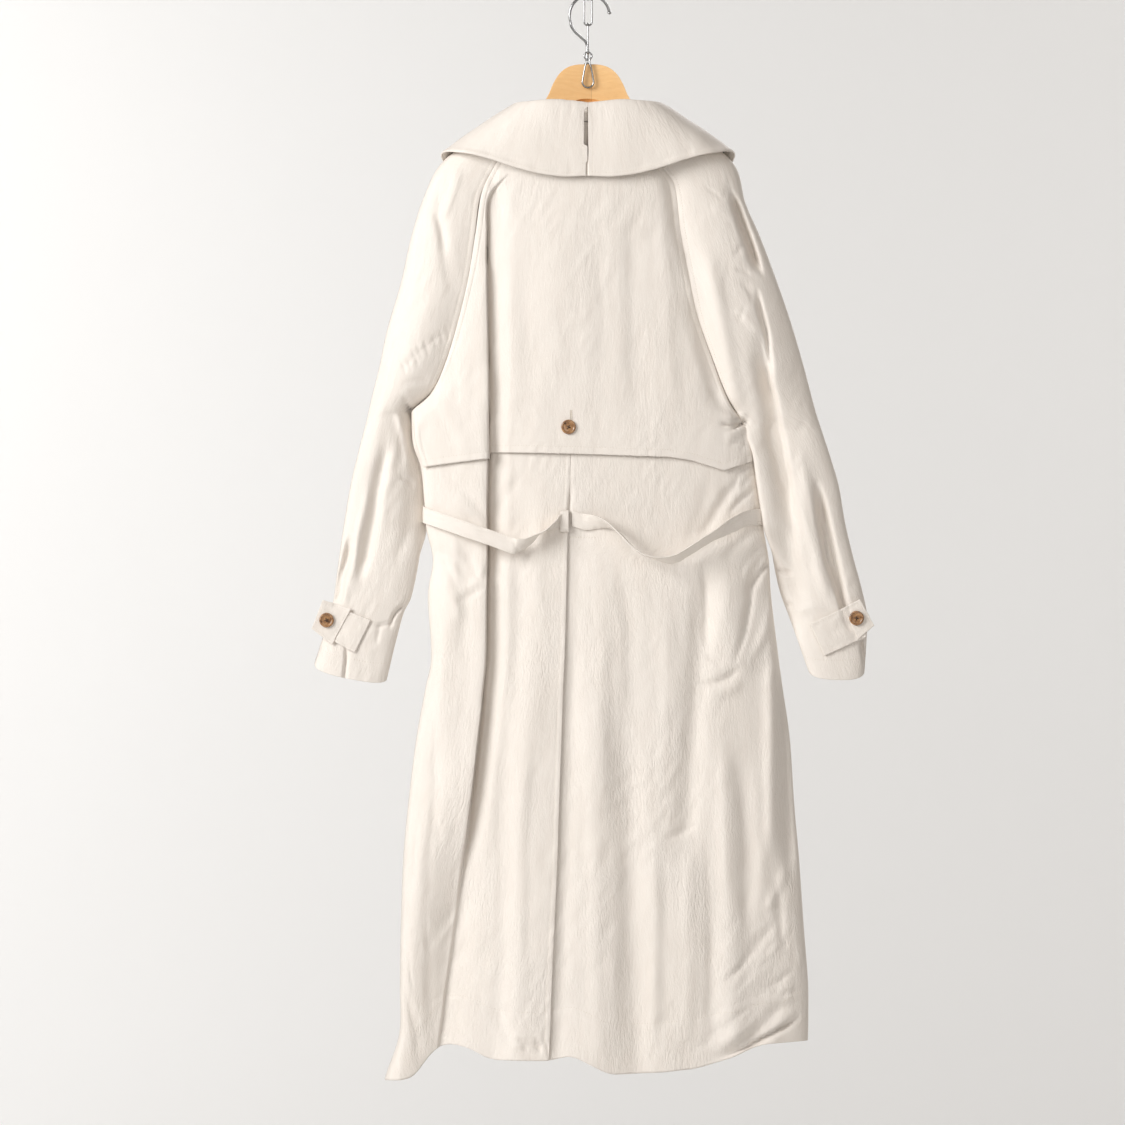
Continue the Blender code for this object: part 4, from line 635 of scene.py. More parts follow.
def turn_towards(grid, facing, place=None):
    """1 where a grid's normals point the wanted way, towards the wall (1) or the room (-1), else -1."""
    depth = grid_normals(grid)[:, :, 1]
    shown = depth.mean() if place is None else depth[place]
    return 1 if shown * facing > 0 else -1


def normals_facing(grid, facing, place=None):
    """Normals of a grid, turned to the room (-1) or to the wall (1), as judged at a place."""
    return turn_towards(grid, facing, place) * grid_normals(grid)


def pattern_of(grid):
    """Flat coordinates of the cloth in metres, across and along its own threads."""
    u = reach_along(grid, 1)
    u -= u[:, u.shape[1] // 2][:, None]
    v = reach_along(grid).mean(axis=1)
    return np.stack([u, v[:, None] + 0 * u], axis=2) * MM


def flat_cut(grid):
    """Width and length of the rectangle that a piece of cloth is cut from, and its flat area."""
    width = reach_along(grid, 1).max() * MM
    length = reach_along(grid).max() * MM
    area = np.linalg.norm(quad_normals(grid), axis=2).sum() / 2 * MM * MM
    return width, length, min(area, width * length)


def added(name, data):
    """A new object of some data, in the scene."""
    thing = bpy.data.objects.new(name, data)
    bpy.context.scene.collection.objects.link(thing)
    return thing


def linked(name, mesh, material):
    """An object of a mesh, in the scene, shaded smooth and given its material."""
    thing = added(name, mesh)
    mesh.shade_smooth()
    mesh.materials.append(material)
    return thing


def cloth(name, grid, facing, material, thickness=SHELL, place=None, across=False):
    """A thin shell of cloth: the grid is its outer face; across turns its threads by a quarter."""
    rows, cols = grid.shape[:2]
    index = np.arange(rows * cols).reshape(rows, cols)
    around = [index[:-1, :-1], index[1:, :-1], index[1:, 1:], index[:-1, 1:]]
    quads = np.stack(around, axis=2).reshape(-1, 4)
    if turn_towards(grid, facing, place) > 0:
        quads = quads[:, ::-1]
    mesh = bpy.data.meshes.new(name)
    mesh.from_pydata((grid.reshape(-1, 3) * MM).tolist(), [], quads.tolist())
    corners = np.zeros(len(mesh.loops), int)
    mesh.loops.foreach_get("vertex_index", corners)
    threads = mesh.uv_layers.new(name="threads")
    pattern = pattern_of(grid)[:, :, ::-1 if across else 1]
    threads.data.foreach_set("uv", pattern.reshape(-1, 2)[corners].ravel())
    thing = linked(name, mesh, material)
    shell = thing.modifiers.new("shell", "SOLIDIFY")
    shell.thickness = thickness * MM
    shell.offset = -1
    flat_cut(grid)
    return thing


def line_inside(grid, distance, edge, first=0, last=None):
    """The line on a grid that runs the given distance inside one of its edges."""
    turned = {"left": grid, "right": grid[:, ::-1], "top": grid.transpose(1, 0, 2),
              "low": grid.transpose(1, 0, 2)[:, ::-1]}[edge]
    turned = turned[first:last]
    reach = reach_along(turned, 1)
    points = []
    for i in range(len(turned)):
        j = int(np.clip(np.searchsorted(reach[i], distance), 1, turned.shape[1] - 1))
        share = (distance - reach[i, j - 1]) / max(reach[i, j] - reach[i, j - 1], 1e-6)
        points.append(turned[i, j - 1] + min(share, 1) * (turned[i, j] - turned[i, j - 1]))
    return np.array(points)


def stitch_mesh(mesh, line, facing, pitch=3.4, length=2.5, width=0.45):
    """Adds stitches along a line: each is a slim spindle that dips into the cloth at both ends."""
    reach = reach_along(line)
    for start in np.arange(pitch / 2, reach[-1] - length, pitch):
        ends = np.array([[np.interp(at, reach, line[:, k]) for k in range(3)]
                         for at in (start, start + length)])
        run = unit(ends[1] - ends[0])
        out = unit(np.array((0.0, facing, 0.0)) - run * run[1] * facing)
        side = np.cross(run, out)
        middle = (ends[0] + ends[1]) / 2 + 0.12 * out
        ring = [middle + side * width / 2, middle + out * width * 0.45, middle - side * width / 2,
                middle - out * width * 0.35]
        tips = [mesh.verts.new((end - 0.2 * out) * MM) for end in ends]
        around = [mesh.verts.new(point * MM) for point in ring]
        for k in range(4):
            mesh.faces.new((tips[0], around[k], around[(k + 1) % 4]))
            mesh.faces.new((tips[1], around[(k + 1) % 4], around[k]))


def sewn_piece(name, mesh, material):
    """The object made of a finished bmesh."""
    data = bpy.data.meshes.new(name)
    mesh.to_mesh(data)
    mesh.free()
    return linked(name, data, material)


def stitching(name, lines, material):
    """All the stitches of one piece; lines are pairs of a line and the way it faces."""
    mesh = bmesh.new()
    for line, facing in lines:
        stitch_mesh(mesh, line, facing)
    bmesh.ops.recalc_face_normals(mesh, faces=mesh.faces)
    return sewn_piece(name, mesh, material)


def vent_lap(rows):
    """How far the right half of the back runs on under the left half."""
    return VENT_LAP * ease(line_at("left_drop", rows), VENT_DROP + 5, VENT_DROP + 30)


def vent_dip(rows, x):
    """How far the right half sinks near the centre to pass under the left half."""
    level = level_of(rows, x)
    beside = x - line_at("centre_x", rows)[:, None]
    shade = ease(level, VENT_DROP - 25, VENT_DROP + 3)
    deepen = 0.5 + 1.8 * ease(level, 790, 900)
    return shade * (VENT_DIP * (1 - ease(beside, 8, 44)) + deepen * bump_at(beside, 11, 8))


def make_back(material, thread):
    """Both halves of the back; the left one laps over the right one at the vent."""
    rows = rows_every(CELL, SIDES["left_drop"], HEM_ROW, NEAR_END)
    left = line_at("left_x", rows)
    pleat = line_at("pleat_x", rows)
    centre = line_at("centre_x", rows)
    right = line_at("right_x", rows)
    x = np.concatenate([columns_between(left, pleat, NEAR_EDGE, NEAR_PLEAT, 16)[:, :-1],
                        columns_between(pleat, centre, NEAR_PLEAT, NEAR_EDGE, 24)], axis=1)
    level = level_of(rows, x)
    seam = 0.7 * seam_form(centre[:, None] - x, level) + 0.6 * seam_form(x - left[:, None], level)
    left_grid = back_surface(rows, x, seam=seam)
    x = columns_between(centre - np.maximum(vent_lap(rows), SEAM_LAP), right, NEAR_VENT, NEAR_EDGE, 84)
    level = level_of(rows, x)
    above_vent = 1 - ease(level, VENT_DROP - 20, VENT_DROP)
    seam = 0.5 * above_vent * seam_form(np.abs(x - centre[:, None]), level)
    seam += 0.6 * seam_form(right[:, None] - x, level)
    under = 1.3 * above_vent * (1 - ease(x - centre[:, None], -SEAM_LAP, 1.5))
    right_grid = back_surface(rows, x, dip=vent_dip(rows, x) + under, seam=seam)
    pieces = [cloth(name, grid, -1, material)
              for name, grid in (("back_left_cloth", left_grid), ("back_right_cloth", right_grid))]
    flap_row = int(np.searchsorted(rows, UNDERARM + 1))
    lines = [(line_inside(left_grid, STITCH_IN, "right", flap_row), -1),
             (line_inside(left_grid, HEM_STITCH_UP, "low"), -1),
             (line_inside(right_grid, HEM_STITCH_UP, "low"), -1)]
    vent_row = int(np.searchsorted(rows, np.interp(VENT_DROP, level[:, 0], rows)))
    bar = right_grid[vent_row]
    beside = (bar[:, 0] > centre[vent_row] - 2) & (bar[:, 0] < centre[vent_row] + 36)
    lines.append((bar[beside] + (0, -0.3, 0), -1))
    return pieces, stitching("back_topstitching", lines, thread)


def make_fronts(material, thread):
    """Both fronts, double-breasted: the right one laps over the left one."""
    rows = rows_every(FRONT_CELL, SIDES["left_drop"], HEM_ROW, FRONT_NEAR_END)
    left, right = line_at("left_x", rows), line_at("right_x", rows)
    middle = (left + right) / 2
    pieces, lines = [], []
    for side, start, end in (("left", left, middle + FRONT_LAP), ("right", right, middle - FRONT_LAP)):
        x = columns_between(start, end, NEAR_EDGE, NEAR_EDGE, 60)
        level = level_of(rows, x)
        seam = 0.6 * seam_form(np.abs(x - start[:, None]), level)
        seam += seam_form(np.abs(x - end[:, None]), level)
        tuck = 0.0
        if side == "left":
            tuck = (CLOTH + 3) * ease(x - middle[:, None], -FRONT_LAP - 45, -FRONT_LAP - 5)
        grid = front_surface(rows, x, dip=tuck, seam=seam)
        pieces.append(cloth("front_%s_cloth" % side, grid, 1, material))
        lines.append((line_inside(grid, HEM_STITCH_UP, "low"), 1))
        if side == "right":
            lines.append((line_inside(grid, STITCH_IN, "right"), 1))
    return pieces, stitching("front_topstitching", lines, thread)


def make_flap(material, thread):
    """The storm flap over the back: the back's own form moved out, down to its loose hem."""
    rows = rows_every(CELL, SIDES["left_drop"], FLAP_FREE_ROW)
    hem_rows = np.array((0.12, 0.24, 0.36, 0.48, 0.6, 0.7, 0.78, 0.85, 0.92, 0.96, 1))
    rows = np.concatenate([rows, FLAP_FREE_ROW + FLAP_HEM_ROWS * hem_rows])
    inset = FLAP_INSET * ease(rows, FLAP_FREE_ROW - 1.2, FLAP_FREE_ROW)
    left = line_at("left_x", rows) + inset
    right = line_at("right_x", rows) - inset
    pleat, centre = line_at("pleat_x", rows), line_at("centre_x", rows)
    x = np.concatenate([columns_between(left, pleat, NEAR_EDGE, NEAR_PLEAT, 16)[:, :-1],
                        columns_between(pleat, centre, NEAR_PLEAT, NEAR_VENT, 22)[:, :-1],
                        columns_between(centre, right, NEAR_VENT, NEAR_EDGE, 58)], axis=1)
    level = level_of(rows, x)
    sewn = np.minimum(x - left[:, None], right[:, None] - x)
    base = back_surface(rows, x, seam=seam_form(sewn, level))
    start = -body_place(FLAP_FREE_ROW + 0 * x, x)[0]
    hang = np.clip((rows - FLAP_FREE_ROW) / FLAP_HEM_ROWS, 0, 1)[:, None]
    end = -np.interp(x, FLAP_HEM["x"], FLAP_HEM["drop"])
    base[:, :, 2] = np.where(hang > 0, start + hang * (end - start), base[:, :, 2])
    up = base[:, :, 2] - end
    free = ease(rows, 8, 11)[:, None]
    lift = np.minimum(FLAP_LIFT, 0.3 + 0.13 * np.maximum(sewn, 60 * free)) + 2.2 * free
    wavy = 0.9 * ripple(x / 34, 0 * x + 0.5, 83)
    lift = lift + free * (wavy - 0.5 * bump_at(up, FLAP_STITCH_UP, 1.6))
    out = unit(normals_facing(base, -1) * (0.3, 1, 1) - (0, 0.7, 0))
    grid = base + out * lift[:, :, None]
    lines = [(line_inside(grid, inside, edge), -1)
             for inside, edge in ((STITCH_IN, "left"), (STITCH_IN, "right"), (FLAP_STITCH_UP, "low"))]
    flap = cloth("storm_flap_cloth", grid, -1, material)
    return flap, stitching("flap_topstitching", lines, thread), grid


def make_sleeves(material, thread):
    """Raglan sleeves of two pieces each, topstitched along the raglan seam and round the cuff."""
    pieces, lines = [], []
    for side, sleeve in SLEEVES.items():
        last = len(sleeve["in_x"]) - 1
        rows = rows_every(CELL, sleeve["in_drop"], last, NEAR_END)
        underarm = int(np.searchsorted(rows, UNDERARM))
        width = np.hypot(through(sleeve["out_x"], rows) - through(sleeve["in_x"], rows),
                         through(sleeve["out_drop"], rows) - through(sleeve["in_drop"], rows))
        for part, facing, count in (("back", -1, 42), ("front", 1, 22)):
            distance = columns_between(0 * width, width, NEAR_EDGE, NEAR_EDGE, count)
            grid = sleeve_surface(side, rows, distance, facing)
            pieces.append(cloth("sleeve_%s_%s_cloth" % (side, part), grid, facing, material))
            lines.append((line_inside(grid, STITCH_IN, "left", 0, underarm), facing))
            lines.append((line_inside(grid, CUFF_STITCH_UP, "low"), facing))
            if facing < 0:
                lines.append((line_inside(grid, STITCH_IN, "right"), facing))
    return pieces, stitching("sleeve_topstitching", lines, thread)


def collar_grid(side):
    """Half of the collar: it stands on the neck edge, rolls over and falls on the shoulder."""
    sign = -1 if side == "left" else 1
    last = len(COLLAR["neck_x"]) - 1
    places = np.concatenate([[0, 0.03, 0.07, 0.13], np.linspace(0.2, last - 0.16, 96),
                             last - np.array((0.1, 0.05, 0))])
    value = {name: smooth(column, places) for name, column in COLLAR.items()}
    ring = np.stack([COLLAR["neck_x"], -COLLAR["neck_depth"]], axis=1)
    run = np.gradient(ring, axis=0)
    run[0] = (1, 0)
    run[-1] = (-1, 0)
    run = unit(run)
    out = unit(np.stack([smooth(run[:, 1], places), -smooth(run[:, 0], places), 0 * places], axis=1))
    up = np.array((0.0, 0.0, 1.0))
    neck = np.stack([value["neck_x"], -value["neck_depth"], 0 * places], axis=1)
    edge = np.stack([value["edge_x"], -value["edge_depth"], -value["edge_drop"]], axis=1)
    foot = neck - up * value["neck_drop"][:, None]
    centre = neck + out * COLLAR_ROLL - up * (value["roll_drop"] + COLLAR_ROLL)[:, None]
    columns = [foot + share * (centre - out * COLLAR_ROLL - foot) for share in (0, 0.35, 0.7)]
    for turn in (180, 155, 130, 110, 90, 75, 60, 45):
        angle = math.radians(turn)
        columns.append(centre + COLLAR_ROLL * (math.cos(angle) * out + math.sin(angle) * up))
    bulge = np.where(value["neck_depth"] >= 0, COLLAR_BULGE["back"], COLLAR_BULGE["front"])[:, None]
    start = columns[-1]
    closer = [0.575, 0.59, 0.8, 0.815, 0.915, 0.94, 0.965, 0.985, 1.0]
    for share in sorted(list(np.linspace(0.05, 0.88, 22)) + closer):
        columns.append(start + share * (edge - start) + bulge * math.sin(math.pi * share ** 0.7) * out)
    grid = np.stack(columns, axis=1)
    reach = reach_along(grid, 1)
    inside = reach[:, -1:] - reach
    along = reach_along(grid)
    form = 0.9 * crinkle(along + 300 * (sign > 0), reach + 0.2 * along)
    form += 1.2 * ripple(along / 38, reach / 44, 91 + sign) * ease(reach, 10, 40)
    form += 1.8 * seam_form(inside, along) + 0.5 * np.exp(-inside / 3)
    form *= np.minimum(along, 12) / 12 * np.minimum(along[-1:] - along, 12) / 12
    normals = normals_facing(grid, -1, COLLAR_SHOWN)
    grid = grid + normals * form[:, :, None] * ease(reach, 4, 16)[:, :, None]
    if side == "left":
        drop = -grid[:, :, 2]
        open_slit = 4.8 * plateau(drop, 183, 186, 229, 232) + 2.0 * ease(drop, 250, 253)
        grid[:, :, 0] += open_slit * np.exp(-along / 14) * (grid[:, :, 1] < 0)
    else:
        set_in = 4.4 + 10.0 * ease(reach[0], 14, 24) - 12.0 * ease(-grid[0, :, 2], 231, 246)
        under = [grid[0] - normals[0] * (set_in * depth)[:, None] - (reach_in, 0, 0)
                 for reach_in, depth in UNDERLAP]
        grid = np.concatenate([np.array(under), grid])
    grid[:, :, 0] *= sign
    grid[:, :, 1] += HANGER_PLANE
    return grid


def make_collar(material, thread):
    """Both halves of the collar with their topstitching."""
    pieces, lines = [], []
    for side in ("left", "right"):
        grid = collar_grid(side)
        pieces.append(cloth("collar_%s_cloth" % side, grid, -1, material, 1.6, COLLAR_SHOWN, True))
        half = len(grid) // 2
        line = line_inside(grid, COLLAR_STITCH_IN, "right")
        lines += [(line[:half], -1), (line[half:], 1)]
        shown = grid[len(UNDERLAP):] if side == "right" else grid
        lines.append((line_inside(shown, COLLAR_SLIT_STITCH_IN, "top", 12), -1))
    return pieces, stitching("collar_topstitching", lines, thread)


def belt_grid(side):
    """One stretch of the belt: a band that hangs loose behind the waist and twists."""
    count = len(BELT[side]["x"])
    places = np.linspace(0, count - 1, 9 * count)
    x, drop, depth, tilt = (smooth(column, places) for column in BELT[side].values())
    centre = np.stack([x, HANGER_PLANE - depth, -drop], axis=1)
    forward = unit(np.gradient(centre, axis=0))
    out = unit(np.cross((0.0, 0.0, 1.0), forward) * (-1 if side == "right" else 1))
    tilt = np.radians(tilt)[:, None]
    across = np.cos(tilt) * (0, 0, 1.0) - np.sin(tilt) * out
    reach = np.array((-10, -9.7, -8.9, -8.2, -7.5, -5, -2.5, 0, 2.5, 5, 7.5, 8.2, 8.9, 9.7, 10.0))
    grid = centre[:, None] + reach[None, :, None] * across[:, None]
    length = 4 * np.arange(1, len(places) + 1)[:, None]
    form = -0.25 * bump_at(np.abs(reach), 8.2, 0.6) - 0.3 * bump_at(np.abs(reach), 10, 0.5)
    form = form[None, :] + 0.35 * ripple(length / 11 + 0 * reach, reach / 9 + 0 * length, 97)
    return grid + normals_facing(grid, -1, BELT_SHOWN) * form[:, :, None]


def make_belt(material, thread):
    """The belt's two stretches and the keeper at centre back."""
    pieces, lines = [], []
    for side in BELT:
        grid = belt_grid(side)
        pieces.append(cloth("belt_%s_cloth" % side, grid, -1, material, 1.5, BELT_SHOWN))
        half = len(grid) * 3 // 5
        for edge in ("left", "right"):
            line = line_inside(grid, BELT_STITCH_IN, edge)
            lines += [(line[:half], -1), (line[half:], 1)]
    drops = np.linspace(KEEPER["drop"][0], KEEPER["drop"][-1], 24)
    lift = np.interp(drops, KEEPER["drop"], KEEPER["lift"])
    across = KEEPER_HALF_WIDTH * np.array((-1, -0.93, -0.7, -0.3, 0, 0.3, 0.7, 0.93, 1.0))
    x = KEEPER_X + across[None, :] + 0 * drops[:, None]
    drop = drops[:, None] + 0 * x
    plain = body_place(KEEPER_ROW + 0 * x, x)[1] + folds_at(FOLDS[-1], x, drop)
    grid = np.stack([x, HANGER_PLANE - plain - CLOTH / 2 - lift[:, None], -drop], axis=2)
    pieces.append(cloth("belt_keeper_cloth", grid, -1, material))
    return pieces, stitching("belt_topstitching", lines, thread)


def sleeve_depth_at(sleeve, x, drop):
    """Half depth of a sleeve's back at a place given by x and drop."""
    low, high = UNDERARM + 0 * x, len(sleeve["in_x"]) - 1 + 0 * x
    for _ in range(30):
        row = (low + high) / 2
        in_x, out_x = through(sleeve["in_x"], row), through(sleeve["out_x"], row)
        share = np.clip((x - in_x) / (out_x - in_x), 0.2, 0.82)
        in_drop, out_drop = through(sleeve["in_drop"], row), through(sleeve["out_drop"], row)
        above = in_drop + share * (out_drop - in_drop) < drop
        low, high = np.where(above, row, low), np.where(above, high, row)
    plain = EDGE_DEPTH + through(sleeve["swell"], row) * arch(share)
    return layered(plain, np.maximum(relief(-1, x, drop), -1.6))


def band_on_sleeve(sleeve, corners, lift, count):
    """A flat band with the given corners, laid on the sleeve's own form and moved out."""
    outer_top, outer_low, inner_low, inner_top = np.array(corners, float)
    near = np.array((0, 0.012, 0.03, 0.06, 0.1))
    down = np.concatenate([near * 1.6, np.linspace(0.22, 0.78, 10), 1 - near[::-1] * 1.6])[:, None]
    over = np.concatenate([near, np.linspace(0.13, 0.87, count), 1 - near[::-1]])[None, :]
    place = {}
    for axis, name in enumerate(("x", "drop")):
        upper = outer_top[axis] + over * (inner_top[axis] - outer_top[axis])
        lower = outer_low[axis] + over * (inner_low[axis] - outer_low[axis])
        place[name] = upper + down * (lower - upper)
    depth = sleeve_depth_at(sleeve, place["x"], place["drop"])
    base = np.stack([place["x"], HANGER_PLANE - depth, -place["drop"]], axis=2)
    rim = np.minimum(np.minimum(down, 1 - down) * 38, np.minimum(over, 1 - over) * 70)
    form = lift - 0.5 * bump_at(rim, 3.4, 0.9) - 0.4 * np.exp(-rim / 0.7)
    form = form + 0.4 * ripple(place["x"] / 9, place["drop"] / 9, 103)
    return base + normals_facing(base, -1) * form[:, :, None]


def make_straps(material, thread):
    """The cuff straps and the tabs that end them, each with its topstitching."""
    pieces, lines, tabs = {}, [], {}
    for side, sleeve in SLEEVES.items():
        strap = band_on_sleeve(sleeve, STRAP_ROWS[side], STRAP_LIFT, 22)
        tab = band_on_sleeve(sleeve, TAB_ROWS[side], STRAP_LIFT + TAB_LIFT, 12)
        pieces[side] = [cloth("cuff_strap_%s_cloth" % side, strap, -1, material, thickness=1.5),
                        cloth("cuff_tab_%s" % side, tab, -1, material, thickness=1.2)]
        for edge in ("left", "right", "top", "low"):
            lines.append((line_inside(tab, STRAP_STITCH_IN, edge, 4, -4), -1))
        for edge in ("top", "low"):
            lines.append((line_inside(strap, STRAP_STITCH_IN, edge, 14, -3), -1))
        tabs[side] = tab
    return pieces, stitching("strap_topstitching", lines, thread), tabs


def pick(*things):
    """Selects just these things, for the next operator, and makes the first one active."""
    bpy.ops.object.select_all(action="DESELECT")
    for thing in things:
        thing.select_set(True)
        bpy.context.view_layer.objects.active = things[0]


def settle(thing, name, material):
    """Finishes a piece modelled by hand: name, normals, smooth shading, place in the mesh, material."""
    pick(thing)
    for modifier in list(thing.modifiers):
        bpy.ops.object.modifier_apply(modifier=modifier.name)
    bpy.ops.object.transform_apply(location=True, rotation=True, scale=True)
    bpy.ops.object.mode_set(mode="EDIT")
    bpy.ops.mesh.select_all(action="SELECT")
    bpy.ops.mesh.remove_doubles(threshold=0.00001)
    bpy.ops.mesh.normals_make_consistent(inside=False)
    bpy.ops.object.mode_set(mode="OBJECT")
    bpy.ops.object.shade_smooth_by_angle(angle=math.radians(38))
    thing.name = name
    thing.data.name = name
    thing.data.materials.clear()
    thing.data.materials.append(material)
    return thing


def joined(things):
    """Joins pieces into the first one."""
    pick(*things)
    bpy.ops.object.join()
    return things[0]


def bevelled(thing, width, segments):
    """Rounds the edges of a piece that is settled later."""
    bevel = thing.modifiers.new("rounded", "BEVEL")
    bevel.width = width * MM
    bevel.segments = segments
    return bevel


def cut_out(thing, tool, name, material):
    """Cuts a tool's form out of a piece, settles the piece and removes the tool."""
    cut = thing.modifiers.new("cut", "BOOLEAN")
    cut.operation = "DIFFERENCE"
    cut.solver = "EXACT"
    cut.object = tool
    settle(thing, name, material)
    bpy.data.objects.remove(tool)
    return thing


# The button's section as it is drawn up from its back: rise of each step and scale of its ring
BUTTON_STEPS = (
    (0.5, 1.11), (0.8, 1.035), (0.7, 0.985), (0.7, 0.955), (0.35, 0.94), (0.05, 0.93), (-0.3, 0.955),
    (-0.45, 0.93), (-0.25, 0.86), (0.0, 0.5),
)
BUTTON_TOP = 2.35
HOLE_OFFSET = 1.55
STRAND_END = 1.9
STRAND_SPACING = 0.35


def turned_button(material):
    """One horn button, turned on a lathe: flat back, rolled rim, dished middle with four holes."""
    pick()
    bpy.ops.mesh.primitive_circle_add(vertices=40, radius=8.0 * MM, fill_type="NGON", location=(0, 0, 0))
    disc = bpy.context.object
    bpy.ops.object.mode_set(mode="EDIT")
    bpy.ops.mesh.select_all(action="SELECT")
    for rise, scale in BUTTON_STEPS:
        bpy.ops.mesh.extrude_region_move(TRANSFORM_OT_translate={"value": (0, 0, rise * MM)})
        bpy.ops.transform.resize(value=(scale, scale, 1), center_override=(0, 0, 0))
    bpy.ops.object.mode_set(mode="OBJECT")
    drills = []
    for x in (-HOLE_OFFSET, HOLE_OFFSET):
        for y in (-HOLE_OFFSET, HOLE_OFFSET):
            bpy.ops.mesh.primitive_cylinder_add(vertices=16, radius=0.85 * MM, depth=9 * MM,
                                                location=(x * MM, y * MM, 1.5 * MM))
            drills.append(bpy.context.object)
    return cut_out(disc, joined(drills), "horn_button", material)


def placed_copy(master, name, centre, normal, turn):
    """A copy of a master piece with its own mesh, set on a place and square to a normal."""
    copy = added(name, master.data.copy())
    turned = Vector(normal).to_track_quat("Z", "Y").to_matrix().to_4x4()
    turned.translation = Vector([value * MM for value in centre])
    copy.data.transform(turned @ Matrix.Rotation(math.pi + turn, 4, "Z"))
    return copy


def grid_place(grid, x, drop):
    """The point of a grid nearest to a place, with its normal."""
    flat = grid.reshape(-1, 3)
    near = int(np.argmin(np.hypot(flat[:, 0] - x, flat[:, 2] + drop)))
    row, col = divmod(near, grid.shape[1])
    patch = grid[max(row - 3, 0):row + 4, max(col - 3, 0):col + 4]
    return flat[near], unit(normals_facing(patch, -1).reshape(-1, 3).mean(axis=0))


def button_threads(mesh, centre, normal, turn):
    """Thread over the four holes of one button, two crossed bundles of three strands."""
    matrix = Vector(normal).to_track_quat("Z", "Y").to_matrix()
    for way in (-1, 1):
        for shift in (-STRAND_SPACING, 0.0, STRAND_SPACING):
            ends = []
            for end in (-1, 1):
                x = end * STRAND_END - 0.7 * shift * way
                y = end * STRAND_END * way + 0.7 * shift
                spun = (x * math.cos(turn) - y * math.sin(turn), x * math.sin(turn) + y * math.cos(turn))
                ends.append(np.array(centre) + np.array(matrix @ Vector((*spun, BUTTON_TOP))))
            stitch_mesh(mesh, np.array(ends), normal[1], pitch=0.01, length=5.3, width=0.7)


def make_buttons(horn, thread, flap_grid, tabs):
    """All the buttons, on the flap, the cuff tabs and the fronts, with their threads."""
    master = turned_button(horn)
    places = {}
    spot, normal = grid_place(flap_grid, *FLAP_BUTTON)
    places["button_flap"] = (spot + 0.4 * normal, normal, 0.3)
    for side, turn in (("left", 1.1), ("right", 0.7)):
        spot, normal = grid_place(tabs[side], *STRAP_BUTTONS[side])
        places["button_cuff_" + side] = (spot + 0.3 * normal, normal, turn)
    for number in range(1, 5):
        name = "button_front_%d" % number
        low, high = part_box(name)
        middle = (Vector(low) + Vector(high)) / 2 / MM
        places[name] = (np.array((middle.x, low[1] / MM, middle.z)), np.array((0.0, 1.0, 0.0)), 0.2)
    buttons = {}
    mesh = bmesh.new()
    for name, (centre, normal, turn) in places.items():
        buttons[name] = placed_copy(master, name + "_horn", centre, normal, turn)
        button_threads(mesh, centre, normal, turn)
    bpy.data.objects.remove(master)
    return buttons, sewn_piece("button_threads", mesh, thread)


HANGER = columns_of("x drop height", (
    (0, 127, 62), (14, 127.5, 61), (26, 131, 58), (36, 139, 51), (44, 152, 41), (50, 166, 32),
    (58, 177, 27), (74, 190, 27), (90, 199, 27), (115, 211, 26), (140, 224, 25), (160, 237, 23),
    (172, 248, 18), (176, 254, 10),
))
WOOD_THICKNESS = 14.0
HANGER_RECESS = ((-1.0, -52.0, -174.0), 16.0, (1.0, 0.5, 0.24))
PRONG_BAR = 5.0
TIP_RADIUS = 2.5
HOOK_WIRE = 3.6
HOOK_BOW = 25.0
HOOK_CENTRE = (2.0, -PRONG_DROP + PRONG_BAR / 2 + HOOK_WIRE / 2 + SEAM_GAP - HOOK_BOW)
SHANK_ROWS = ((-20.5, 14), (-16, 21), (-9, 27.5), (-3, 33), (-1, 40), (-1, 57))
FERRULE_RADIUS = 3.6
FERRULE_HEIGHT = 2.4
FERRULE_PLACE = (-1.0, HANGER_PLANE, -126.2)
PLATE = (26.0, 3.0, 56.0)
SCREW_Z = 21.0
SCREW_RADIUS = 4.2
SCREW_SLOT = (9.0, 1.6, 0.9)
PRONG_ROWS = (
    (1.5, 12), (12, 13), (22, 20), (28, 32), (34, 41), (40, 45), (60, 45), (65, 43), (67.5, 38),
    (68.5, 31), (69, 22),
)
CHAIN_WIRE = 2.4
LINK_HALF_WIDTH = 4.7
LINK_UPPER = (PRONG_DROP - PRONG_BAR / 2 - SEAM_GAP - CHAIN_WIRE / 2, 79.0)
LINK_LOWER = (LINK_UPPER[1] - CHAIN_WIRE - SEAM_GAP, 115.0)
CLIP_TOP = LINK_LOWER[1] - CHAIN_WIRE - SEAM_GAP
CLIP_WAIST = 127.5
CLIP_LOW = 156.5
CLIP_SIDE = ((1.6, 3.2), (3.6, -3), (5.2, -11))
CLIP_EYE_RADIUS = 4.6
CLIP_BULB_RADIUS = 7.0


